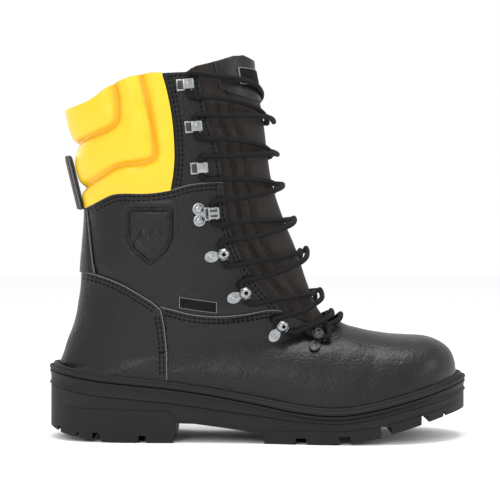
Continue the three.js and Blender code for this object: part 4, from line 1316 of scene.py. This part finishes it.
# ------------------------------------------------------------------ lace fittings
FITTINGS = [  # from the top of the boot down: name, side-view place, direction to the throat, kind
    ("hook_1", (-51.5, 257.5), (1, 0.08), "hook"), ("hook_2", (-45.5, 227.5), (1, 0.08), "hook"),
    ("hook_3", (-41.5, 198), (1, 0.08), "hook"), ("lock_hook", (-33.4, 165.2), (1, 0.08), "lock"),
    ("eyelet_4", (-25.6, 136.1), (8.1, 1.9), "eyelet"), ("eyelet_3", (-10, 107.3), (7.5, 2.9), "eyelet"),
    ("eyelet_2", (16.3, 83.6), (5.1, 7), "eyelet"), ("eyelet_1", (43.5, 74.3), (1.6, 7.6), "eyelet"),
]
SEAT = 0.2
BALL_RADIUS = LACE_RADIUS + 2.5
FITTING_HEIGHT = SEAT + HOOK_PLATE + LACE_CHANNEL / 2


def fitting_frame(at, aim, side):
    """X towards the throat, Y along the lace, Z out of the leather, in millimetres."""
    s, v = locate([at[0]], [at[1]])
    place = side * v
    origin = Vector(skin(s, place, SEAT)[0])
    out = Vector(skin_normal(s, place)[0])
    to = Vector((aim[0], 0, aim[1])).normalized()
    to = (to - out * to.dot(out)).normalized()
    up = out.cross(to)
    turn = Matrix((to, up, out)).transposed().to_4x4()
    return s[0], place[0], Matrix.Translation(origin) @ turn


def bevelled(solid, width, segments=3, limit=0.6):
    edges = [e for e in solid.edges if len(e.link_faces) == 2 and e.calc_face_angle(0) > limit]
    bmesh.ops.bevel(solid, geom=edges, affect="EDGES", offset=width, segments=segments, profile=0.5,
        material=-1,
                    clamp_overlap=True)
    return solid


def strip_solid(outline, width):
    """A side outline in X and Z extruded along Y."""
    solid = bmesh.new()
    pulled_out(solid, [(x, -width / 2, z) for x, z in outline], (0, width, 0))
    bmesh.ops.recalc_face_normals(solid, faces=solid.faces[:])
    return solid


def turned(profile, at=(0, 0, 0), stretch=(1, 1, 1), steps=40, material=0):
    """A round form spun about Z from radius and height pairs."""
    solid = bmesh.new()
    verts = [solid.verts.new((r, 0, z)) for r, z in profile]
    edges = [solid.edges.new(pair) for pair in zip(verts, verts[1:])]
    bmesh.ops.spin(solid, geom=verts + edges, cent=(0, 0, 0), axis=(0, 0, 1), angle=math.tau, steps=steps,
        use_merge=True)
    bmesh.ops.remove_doubles(solid, verts=solid.verts[:], dist=0.001)
    bmesh.ops.recalc_face_normals(solid, faces=solid.faces[:])
    bmesh.ops.scale(solid, verts=solid.verts[:], vec=stretch)
    bmesh.ops.translate(solid, verts=solid.verts[:], vec=at)
    for face in solid.faces:
        face.material_index = material
    return solid


def hook_solid(rear=-7.5, width=HOOK_WIDTH):
    """A plate in dark nickel, its darkness painted shade under the hook, with a bright bent hook riveted on
    it.
    """
    roof = HOOK_PLATE + LACE_CHANNEL
    plate = strip_solid([(rear, 0), (4.6, 0), (4.6, 0.75), (rear, 0.75)], width + 0.6)
    bevelled(plate, 0.35)
    # Painted shade: the plate gets the dark nickel where shade falls under the hook.
    for face in plate.faces:
        face.material_index = 1
    frame_bar = strip_solid([(rear, 0.75), (rear + 1.3, 0.75), (rear + 1.3, 1.45), (rear, 1.45)], width + 0.6)
    bevelled(frame_bar, 0.3, 2)
    rails = []
    for side in (-1, 1):
        rail = strip_solid([(rear + 0.4, 0.75), (3.5, 0.75), (3.5, 1.45), (rear + 0.4, 1.45)], 1.1)
        bmesh.ops.translate(rail, verts=rail.verts[:], vec=(0, side * (width / 2 - 0.35), 0))
        rails.append(bevelled(rail, 0.25, 2))
    outline = [
        (-2.2, HOOK_PLATE), (3.3, HOOK_PLATE), (3.6, HOOK_PLATE + 0.4), (3.6, roof - 0.4), (3.2, roof),
        (-2.1, roof),
        (-2.8, roof - 0.1), (-3.5, roof + 0.35), (-3.0, roof + 1.05), (-2.2, roof + 1.2), (3.9, roof + 1.2),
        (4.8, roof + 0.4), (5.0, roof - 0.8), (5.0, 0.8), (4.6, 0.4), (-2.2, 0.4),
    ]
    hook = bevelled(strip_solid(outline, width - 1.0), 0.45)
    mark = turned([(0, roof + 1.3), (1.5, roof + 1.28), (1.9, roof + 1.15)], at=(0.6, 0, 0),
        stretch=(0.55, 1.15, 1), steps=24)
    return [plate, frame_bar, hook, mark] + rails


def dome(radius, height, at):
    return turned(
        [(0, height), (radius * 0.35, height * 0.96), (radius * 0.7, height * 0.74),
            (radius * 0.92, height * 0.4),
         (radius, 0.1), (radius, -0.2)], at=at, steps=32)


def lock_solid():
    parts = hook_solid(-5.6, HOOK_WIDTH + 1)
    for x, y in ((-9.4, 4.1), (-9.4, -4.1)):
        parts.append(turned([(0, 1.2), (3.9, 1.2), (4.4, 0.95), (4.6, 0.5), (4.6, 0)], at=(x, y, 0),
            steps=36))
        parts.append(dome(3.2, 1.8, (x, y, 1.2)))
    neck = bevelled(strip_solid([(-8, 0), (-3, 0), (-3, 1.1), (-8, 1.1)], 5.0), 0.3)
    slots = []
    for y in (-1.9, 1.9):
        slot = bevelled(strip_solid([(-2.0, 7.6), (3.4, 7.6), (3.4, 7.9), (-2.0, 7.9)], 1.7), 0.12, 1)
        bmesh.ops.translate(slot, verts=slot.verts[:], vec=(0, y, 0))
        # Painted shade: the slots are thin strips in dark nickel that stand for the shade inside them.
        for face in slot.faces:
            face.material_index = 1
        slots.append(slot)
    return parts + [neck] + slots


def eyelet_solid():
    """A ball on an oval plate that has raised rings; its hole is a shallow dimple painted dark as the hole's
    shade.
    """
    middle = HOOK_PLATE + LACE_CHANNEL / 2
    start = math.asin(1.55 / BALL_RADIUS)
    angles = np.linspace(start, math.pi * 0.74, 15)
    profile = [(0, middle + 2.4), (1.2, middle + 2.5), (1.45, middle + 3.2)]
    profile += [(BALL_RADIUS * math.sin(a), middle + BALL_RADIUS * math.cos(a)) for a in angles]
    profile += [(3.1, 0.5), (3.6, 0.0)]
    ball = turned(profile, steps=36)
    # Painted shade: the faces of the shallow dimple on top get the dark hole colour in place of a real hole.
    for face in ball.faces:
        centre = face.calc_center_median()
        if math.hypot(centre.x, centre.y) < 1.35 and centre.z > middle:
            face.material_index = 2
    rings = [(0, 1.5), (1.0, 1.42), (1.5, 1.0), (2.0, 1.35), (2.5, 1.4), (2.9, 0.95), (3.4, 1.2),
        (3.9, 1.15), (4.25, 0.7), (4.3, 0)]
    plate = turned(rings, at=(-8.2, 0, 0), stretch=(1.3, 1, 1), steps=48)
    neck = bevelled(strip_solid([(-8, 0), (0, 0), (0, 2.0), (-3.5, 2.0), (-6, 1.1), (-8, 1.0)], 5.2), 0.4)
    rim = turned([(LACE_RADIUS + 0.35, -0.5), (LACE_RADIUS + 1.0, 0), (LACE_RADIUS + 0.35, 0.5),
        (LACE_RADIUS - 0.1, 0), (LACE_RADIUS + 0.35, -0.5)], steps=28)
    rims = []
    for side in (-1, 1):
        copy = rim.copy()
        bmesh.ops.rotate(copy, verts=copy.verts[:], cent=(0, 0, 0),
            matrix=Matrix.Rotation(math.pi / 2, 3, "X"))
        reach = math.sqrt(BALL_RADIUS**2 - (LACE_RADIUS + 0.6) ** 2)
        bmesh.ops.translate(copy, verts=copy.verts[:], vec=(0, side * reach, middle))
        rims.append(copy)
    rim.free()
    return [ball, plate, neck] + rims


def fitting_piece(name, at, aim, kind, side_name):
    """One fitting, set on the leather at its place."""
    makers = {"hook": hook_solid, "lock": lock_solid, "eyelet": eyelet_solid}
    whole = bmesh.new()
    for part in makers[kind]():
        put_in(whole, part)
    matrix = fitting_frame(at, aim, SIDES[side_name])[2]
    bmesh.ops.transform(whole, matrix=matrix, verts=whole.verts[:])
    bmesh.ops.scale(whole, verts=whole.verts[:], vec=(MM, MM, MM))
    metals = [MATERIALS["metal"], MATERIALS["dark_nickel_and_shade"], MATERIALS["hole"]]
    # Painted shade: the lowest eyelet, which lies in shadow, gets the darker nickel.
    if name == "eyelet_1":
        metals[0] = MATERIALS["dark_nickel_and_shade"]
    return object_of(f"{name}_{side_name}_metal", whole, metals)


# ------------------------------------------------------------------ lace
BAR_SECTION = 10.3
CROSSINGS = [9, 7.6, 6, 5.1, 4.05, 3.1, 2.15]
LAST_CROSSING = 1.4
RIDGE_HEIGHT = -TONGUE_DEPTH + LACE_RADIUS + 0.9
HUMP = LACE_DIAMETER + 0.5
ON_COLLAR = GAP + COLLAR_FOAM + COLLAR_COVER + LACE_RADIUS + 0.5
SHARES = [0.22, 0.44, 0.64, 0.82]


def threading(fitting):
    """Where the lace goes in below a fitting, through it, and out above it."""
    _, _, matrix, kind, sign = fitting
    reach = BALL_RADIUS + LACE_RADIUS + 1 if kind == "eyelet" else HOOK_WIDTH / 2 + LACE_RADIUS + 1
    x = 0 if kind == "eyelet" else 0.9
    height = HOOK_PLATE + LACE_CHANNEL / 2
    return [np.array(matrix @ Vector((x, -y * sign, height))) for y in (-reach, 0, reach)]


def lace_at(s, v, crossing, share, over):
    """A point part of the way from a fitting (share 0) to the crossing on the ridge (share 1)."""
    drop = smooth((share - 0.2) / 0.78)
    lift = HUMP * smooth((share - 0.3) / 0.34) if over else 0
    height = FITTING_HEIGHT + (RIDGE_HEIGHT - FITTING_HEIGHT) * drop + lift
    return skin(s + (crossing - s) * share, v * (1 - share), height)[0]


def strand(start, start_v, end, end_v, crossing, over):
    """Lace points between two fittings on opposite sides."""
    s0, s1 = (locate([p[0]], [p[2]])[0][0] for p in (start, end))
    first = [lace_at(s0, start_v, crossing, share, over) for share in SHARES]
    second = [lace_at(s1, end_v, crossing, share, over) for share in SHARES]
    return first + [lace_at(s0, 0, crossing, 1, over)] + second[::-1]


def climb(start, bottom_up):
    """One half of the lace, from the lowest eyelet on one side to a top hook."""
    other = {"lateral": "medial", "medial": "lateral"}
    points = []
    side = start
    for i in range(len(FITTINGS)):
        run = threading(bottom_up[side][i])
        points += run
        if i + 1 < len(FITTINGS):
            following = bottom_up[other[side]][i + 1]
            over = (start == "lateral") == (i % 2 == 0)
            points += strand(run[2], bottom_up[side][i][1], threading(following)[0], following[1],
                CROSSINGS[i], over)
        side = other[side]
    return points


def hanging(x, start, end):
    count = math.ceil((start - end) / 17)
    return [(x, start + (end - start) * i / count, ON_COLLAR) for i in range(count + 1)]


def inner_points(points):
    out = []
    for x, z, height in points:
        s, v = locate([x], [z])
        out.append(skin(s, v, height)[0])
    return out


def lace_points():
    """The lace's whole way: hanging end, up one side, over the bar, up the other side, hanging end."""
    bottom_up = {}
    for side, sign in SIDES.items():
        bottom_up[side] = [(*fitting_frame(at, aim, sign), kind, sign) for _, at, aim,
            kind in reversed(FITTINGS)]
    climbs = {side: climb(side, bottom_up) for side in SIDES}
    medial_end = inner_points(
        [(-54.5, 267.5, FITTING_HEIGHT + 1.5), (-61, 268.6, FITTING_HEIGHT + 3),
            (-68.5, 265.5, ON_COLLAR + 0.6),
         (-74, 259, ON_COLLAR)] + hanging(-76, 248, 152))
    lateral_end = inner_points(
        [(-24, 250.5, FITTING_HEIGHT + HUMP), (-40, 246, FITTING_HEIGHT + 3.4),
            (-51, 242.5, FITTING_HEIGHT + 1),
         (-58.5, 239.5, ON_COLLAR - 0.3)] + hanging(-65.5, 229, 166))
    top_v = bottom_up["lateral"][-1][1]
    top_exit = climbs["medial"][-1]
    exit_s = locate([top_exit[0]], [top_exit[2]])[0][0]
    last_strand = [lace_at(exit_s, top_v, LAST_CROSSING, share, False) for share in SHARES + [1]]
    beyond = [skin(1.5, 0.1, RIDGE_HEIGHT + 0.6)[0], skin(1.58, 0.18, RIDGE_HEIGHT + 3.2)[0]]
    first = climbs["lateral"][0]
    foot_s = locate([first[0]], [first[2]])[0][0]
    foot_v = abs(bottom_up["lateral"][0][1])
    bar = [skin(foot_s + (BAR_SECTION - foot_s) * (1 - abs(share)), foot_v * share,
        LACE_RADIUS + GAP + 2.2)[0]
           for share in (-0.7, -0.35, 0, 0.35, 0.7)]
    points = medial_end[::-1] + climbs["lateral"][::
        -1] + bar + climbs["medial"] + last_strand + beyond + lateral_end
    return np.array(points)


def open_spline(points, spacing):
    """Evenly close points on a centripetal Catmull-Rom curve through the given ones."""
    ring = np.concatenate([[2 * points[0] - points[1]], points, [2 * points[-1] - points[-2]]])
    out = []
    for p0, p1, p2, p3 in zip(ring, ring[1:], ring[2:], ring[3:]):
        d0, d1, d2 = (math.sqrt(np.linalg.norm(b - a)) for a, b in ((p0, p1), (p1, p2), (p2, p3)))
        t1 = ((p1 - p0) / d0 - (p2 - p0) / (d0 + d1) + (p2 - p1) / d1) * d1
        t2 = ((p2 - p1) / d1 - (p3 - p1) / (d1 + d2) + (p3 - p2) / d2) * d1
        count = max(2, round(np.linalg.norm(p2 - p1) / spacing))
        for k in range(count):
            f = k / count
            out.append(p1 + t1 * f + (3 * (p2 - p1) - 2 * t1 - t2) * f**2 + (2 * (p1 - p2) + t1 + t2) * f**3)
    return np.array(out + [points[-1]])


def tube_mesh(line, radius, sides, pitch):
    """A tube along close points, with a UV map: round it across, and along it in turns of the braid."""
    tube = bmesh.new()
    uv = tube.loops.layers.uv.new("UVMap")
    along = np.gradient(line, axis=0)
    along /= np.linalg.norm(along, axis=1)[:, None]
    across = Vector(along[0]).orthogonal().normalized()
    rings = []
    travelled = np.concatenate([[0], np.cumsum(np.linalg.norm(np.diff(line, axis=0), axis=1))])
    for point, way in zip(line, along):
        way = Vector(way)
        across = (across - way * across.dot(way)).normalized()
        up = way.cross(across)
        rings.append([tube.verts.new(Vector(point) + radius * (math.cos(a) * across + math.sin(a) * up))
                      for a in (math.tau * k / sides for k in range(sides))])
    for i in range(len(rings) - 1):
        for k in range(sides):
            corners = ((i, k), (i, k + 1), (i + 1, k + 1), (i + 1, k))
            face = tube.faces.new([rings[a][b % sides] for a, b in corners])
            for loop, (a, b) in zip(face.loops, corners):
                loop[uv].uv = (b / sides, travelled[a] / pitch)
    tube.faces.new(rings[0][::-1])
    tube.faces.new(rings[-1])
    bmesh.ops.recalc_face_normals(tube, faces=tube.faces[:])
    bmesh.ops.scale(tube, verts=tube.verts[:], vec=(MM, MM, MM))
    return tube


def aglet_mesh(tip, before):
    """A crimped plastic end."""
    length, r = 16.0, 2.6
    profile = [(0, GAP / 2), (r * 0.95, GAP / 2), (r, 0.6), (r, 4.5), (r * 0.9, 5.0), (r * 0.9, 5.6),
        (r, 6.1), (r, 10.5), (r * 0.9, 11.0),
               (r * 0.9, 11.6), (r, 12.1), (r, length - 0.8), (r * 0.8, length), (0, length + GAP / 2)]
    solid = turned(profile, steps=24)
    away = Vector(tip - before).normalized()
    turn = Vector((0, 0, 1)).rotation_difference(away).to_matrix().to_4x4()
    bmesh.ops.transform(solid, matrix=Matrix.Translation(Vector(tip)) @ turn, verts=solid.verts[:])
    bmesh.ops.scale(solid, verts=solid.verts[:], vec=(MM, MM, MM))
    return solid


# ------------------------------------------------------------------ sizes and colours a user can set
class BootLook(bpy.types.PropertyGroup):
    """Colours and stitch sizes of the boot."""

    leather_color: bpy.props.FloatVectorProperty(
        name="Leather", description="Colour of the pebbled upper leather",
        subtype="COLOR", size=3, min=0, max=1, default=(0.0026, 0.0027, 0.003))
    collar_color: bpy.props.FloatVectorProperty(
        name="Collar", description="Colour of the padded collar's coated cover",
        subtype="COLOR", size=3, min=0, max=1, default=(0.74, 0.49, 0.006))
    rubber_color: bpy.props.FloatVectorProperty(
        name="Rubber", description="Colour of the sole's rubber",
        subtype="COLOR", size=3, min=0, max=1, default=(0.0042, 0.0042, 0.0045))
    stitch_length: bpy.props.FloatProperty(
        name="Stitch length", description="Length of one stitch on the upper",
        subtype="DISTANCE", unit="LENGTH", default=0.0027)
    thread_radius: bpy.props.FloatProperty(
        name="Thread radius", description="Radius of the waxed thread",
        subtype="DISTANCE", unit="LENGTH", default=0.0005)
    light_power: bpy.props.FloatProperty(
        name="Light", description="Power of the large light above the boot", default=9.0)


class BootOperator:
    """What the boot's operators share."""

    bl_options = {"REGISTER", "UNDO"}

    def execute(self, context):
        self.make(context.scene.boot_look)
        return {"FINISHED"}


class BOOT_OT_materials(BootOperator, bpy.types.Operator):
    """Makes the boot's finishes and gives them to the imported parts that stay"""

    bl_idname = "boot.materials"
    bl_label = "Finishes"

    def make(self, look):
        make_materials(look)
        kept = {
            "footbed": "felt", "lining": "lining", "insole_board": "felt",
            "anti_perforation_plate": "dark_nickel_and_shade",
            "toe_cap": "dark_nickel_and_shade", "heel_stiffener": "lining", "cut_protection_vamp": "lining",
            "shaft_padding_lateral": "lining", "shaft_padding_medial": "lining",
            "facing_reinforcement_lateral": "lining", "facing_reinforcement_medial": "lining",
            "tongue_cut_protection": "tongue",
        }
        for node, finish in kept.items():
            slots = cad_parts[node].material_slots
            for slot in slots:
                slot.material = MATERIALS[finish]


class BOOT_OT_leather(BootOperator, bpy.types.Operator):
    """Cuts and lays the leather panels: vamp, heel cover, quarters and facings"""

    bl_idname = "boot.leather"
    bl_label = "Leather panels"

    def make(self, look):
        cut = [MATERIALS["leather"], MATERIALS["raw_edge"]]
        declare(vamp_piece(cut), "black_leather", "vamp")
        declare(heel_cover_piece(cut), "black_leather", "heel_cover")
        declare(quarter_piece(cut), "black_leather", "quarter_lateral", "quarter_medial")
        declare(facing_piece(cut), "black_leather", "facing_lateral", "facing_medial")


class BOOT_OT_stitching(BootOperator, bpy.types.Operator):
    """Sews the double rows along the seams"""

    bl_idname = "boot.stitching"
    bl_label = "Stitching"

    def make(self, look):
        sewn = stitch_mesh(stitch_rows(), look.stitch_length / MM, look.thread_radius / MM)
        declare(object_of("seam_stitches", sewn, [MATERIALS["thread"]]), "black_leather")
        declare(object_of("cut_edge_and_highlight_lines", cut_edge_and_highlight_lines(), [MATERIALS["raw_edge"]]), "black_leather")


class BOOT_OT_collar(BootOperator, bpy.types.Operator):
    """Pads the collar in nested blocks with sewn channels"""

    bl_idname = "boot.collar"
    bl_label = "Padded collar"

    def make(self, look):
        piece = declare(collar_piece([MATERIALS["collar"]]), "yellow_cover", "collar_cover", "collar_foam")


class BOOT_OT_tongue(BootOperator, bpy.types.Operator):
    """Makes the bellows tongue, its top facing and its label"""

    bl_idname = "boot.tongue"
    bl_label = "Tongue"

    def make(self, look):
        piece = declare(tongue_piece([MATERIALS["tongue"], MATERIALS["raw_edge"]]), "tongue_leather",
            "tongue_cover")
        declare(tongue_flap_piece([MATERIALS["leather"], MATERIALS["raw_edge"]]), "black_leather")
        label = [MATERIALS["label"], MATERIALS["label_edge"]]
        declare(tongue_label_piece(label), "label_fabric", "tongue_label")
        declare(side_tag_piece(label), "label_fabric", "side_tag")


class BOOT_OT_back(BootOperator, bpy.types.Operator):
    """Lays the strip up the boot's back and sets its pull tab"""

    bl_idname = "boot.back"
    bl_label = "Back strip and pull tab"

    def make(self, look):
        declare(backstay_piece([MATERIALS["leather"], MATERIALS["raw_edge"]]), "grey_suede", "backstay")
        tab = pull_tab_piece([MATERIALS["suede"], MATERIALS["raw_edge"]])
        declare(tab, "grey_suede", "pull_tab", body=TAB_BODY)


class BOOT_OT_lining(BootOperator, bpy.types.Operator):
    """Lines the shaft with textile"""

    bl_idname = "boot.lining"
    bl_label = "Lining"

    def make(self, look):
        declare(lining_piece([MATERIALS["lining"]]), "lining_textile")


class BOOT_OT_sole(BootOperator, bpy.types.Operator):
    """Moulds the welt, the midsole band and the lugged outsole"""

    bl_idname = "boot.sole"
    bl_label = "Sole"

    def make(self, look):
        declare(welt_piece([MATERIALS["rubber"]]), "welt_rubber", "welt")
        declare(midsole_piece([MATERIALS["rubber"]]), "midsole_rubber", "midsole")
        declare(outsole_piece([MATERIALS["rubber"], MATERIALS["rubber_knurled"]]), "outsole_rubber",
            "outsole")
        sewn = stitch_mesh(welt_stitches(), 4.4, 0.6)
        declare(object_of("welt_stitches", sewn, [MATERIALS["welt_thread"]]), "welt_rubber")


class BOOT_OT_fittings(BootOperator, bpy.types.Operator):
    """Sets the hooks, lock hooks and ball eyelets"""

    bl_idname = "boot.fittings"
    bl_label = "Lace fittings"

    def make(self, look):
        for name, at, aim, kind in FITTINGS:
            for side_name in SIDES:
                piece = fitting_piece(name, at, aim, kind, side_name)
                declare(piece, "nickel_fitting", f"{name}_{side_name}")


class BOOT_OT_lace(BootOperator, bpy.types.Operator):
    """Threads the round lace through the fittings and ends it in two tips"""

    bl_idname = "boot.lace"
    bl_label = "Lace"

    def make(self, look):
        line = open_spline(lace_points(), 1.5)
        lace = tube_mesh(line, LACE_RADIUS - 0.25, 12, 3.6)
        declare(object_of("round_lace", lace, [MATERIALS["lace"]]), "lace_cord", "lace")
        for index, (tip, before) in enumerate(((line[0], line[2]), (line[-1], line[-3]))):
            aglet = object_of(f"lace_tip_{index + 1}", aglet_mesh(tip, before), [MATERIALS["clear_tip"]])
            declare(aglet, "aglet_plastic", f"aglet_{index + 1}")


def soft_light(name, at, to, size, power):
    data = bpy.data.lights.new(name, "AREA")
    data.shape = "RECTANGLE"
    data.size, data.size_y = size
    data.energy = power
    light = bpy.data.objects.new(name, data)
    light.location = at
    light.rotation_euler = (Vector(to) - Vector(at)).to_track_quat("-Z", "Y").to_euler()
    bpy.context.scene.collection.objects.link(light)


class BOOT_OT_stage(BootOperator, bpy.types.Operator):
    """Sets the camera, the pale floor and the soft light"""

    bl_idname = "boot.stage"
    bl_label = "Stage"

    def make(self, look):
        scene = bpy.context.scene
        data = bpy.data.cameras.new("camera")
        data.sensor_width = 36
        data.lens = 96
        camera = bpy.data.objects.new("camera", data)
        camera.location = (-0.006, -1.0, 0.139)
        camera.rotation_euler = (math.pi / 2, 0, 0)
        scene.collection.objects.link(camera)
        scene.camera = camera
        world = bpy.data.worlds.new("studio")
        world.use_nodes = True
        world.node_tree.nodes["Background"].inputs["Color"].default_value = (1, 1, 1, 1)
        world.node_tree.nodes["Background"].inputs["Strength"].default_value = 1.0
        scene.world = world
        scene.view_settings.view_transform = "Standard"
        floor = bmesh.new()
        bmesh.ops.create_grid(floor, x_segments=4, y_segments=4, size=6)
        ground = new_material("pale floor", (0.97, 0.97, 0.97), 1.0, specular=0.0)
        object_of("floor", floor, [ground])
        soft_light("above", (0.05, -0.15, 1.3), (0.02, 0, 0.08), (0.7, 0.35), look.light_power)
        soft_light("front", (-0.5, -1.3, 0.75), (-0.03, 0, 0.13), (0.45, 0.6), look.light_power * 0.6)
        soft_light("toe", (1.1, -0.5, 0.6), (0.05, 0, 0.08), (0.3, 0.6), look.light_power * 0.35)
        soft_light("rear", (-0.9, 0.7, 0.7), (-0.05, 0, 0.12), (0.7, 0.9), look.light_power * 0.4)


class BOOT_PT_panel(bpy.types.Panel):
    """The boot's settings and its steps in order"""

    bl_idname = "BOOT_PT_panel"
    bl_label = "Laced Boot"
    bl_space_type = "VIEW_3D"
    bl_region_type = "UI"
    bl_category = "Boot"

    def draw(self, context):
        look = context.scene.boot_look
        for key in ("leather_color", "collar_color", "rubber_color", "stitch_length", "thread_radius",
            "light_power"):
            self.layout.prop(look, key)
        for operator in STEPS:
            self.layout.operator(operator.bl_idname)


STEPS = (
    BOOT_OT_stage, BOOT_OT_materials, BOOT_OT_lace, BOOT_OT_sole, BOOT_OT_leather, BOOT_OT_stitching,
    BOOT_OT_collar,
    BOOT_OT_tongue, BOOT_OT_back, BOOT_OT_lining, BOOT_OT_fittings,
)
CLASSES = (BootLook, *STEPS, BOOT_PT_panel)


def register():
    for cls in CLASSES:
        bpy.utils.register_class(cls)
    bpy.types.Scene.boot_look = bpy.props.PointerProperty(type=BootLook)


def unregister():
    del bpy.types.Scene.boot_look
    for cls in reversed(CLASSES):
        bpy.utils.unregister_class(cls)


def main():
    register()
    for operator in STEPS:
        group, name = operator.bl_idname.split(".")
        getattr(getattr(bpy.ops, group), name)()


if __name__ == "__main__":
    main()
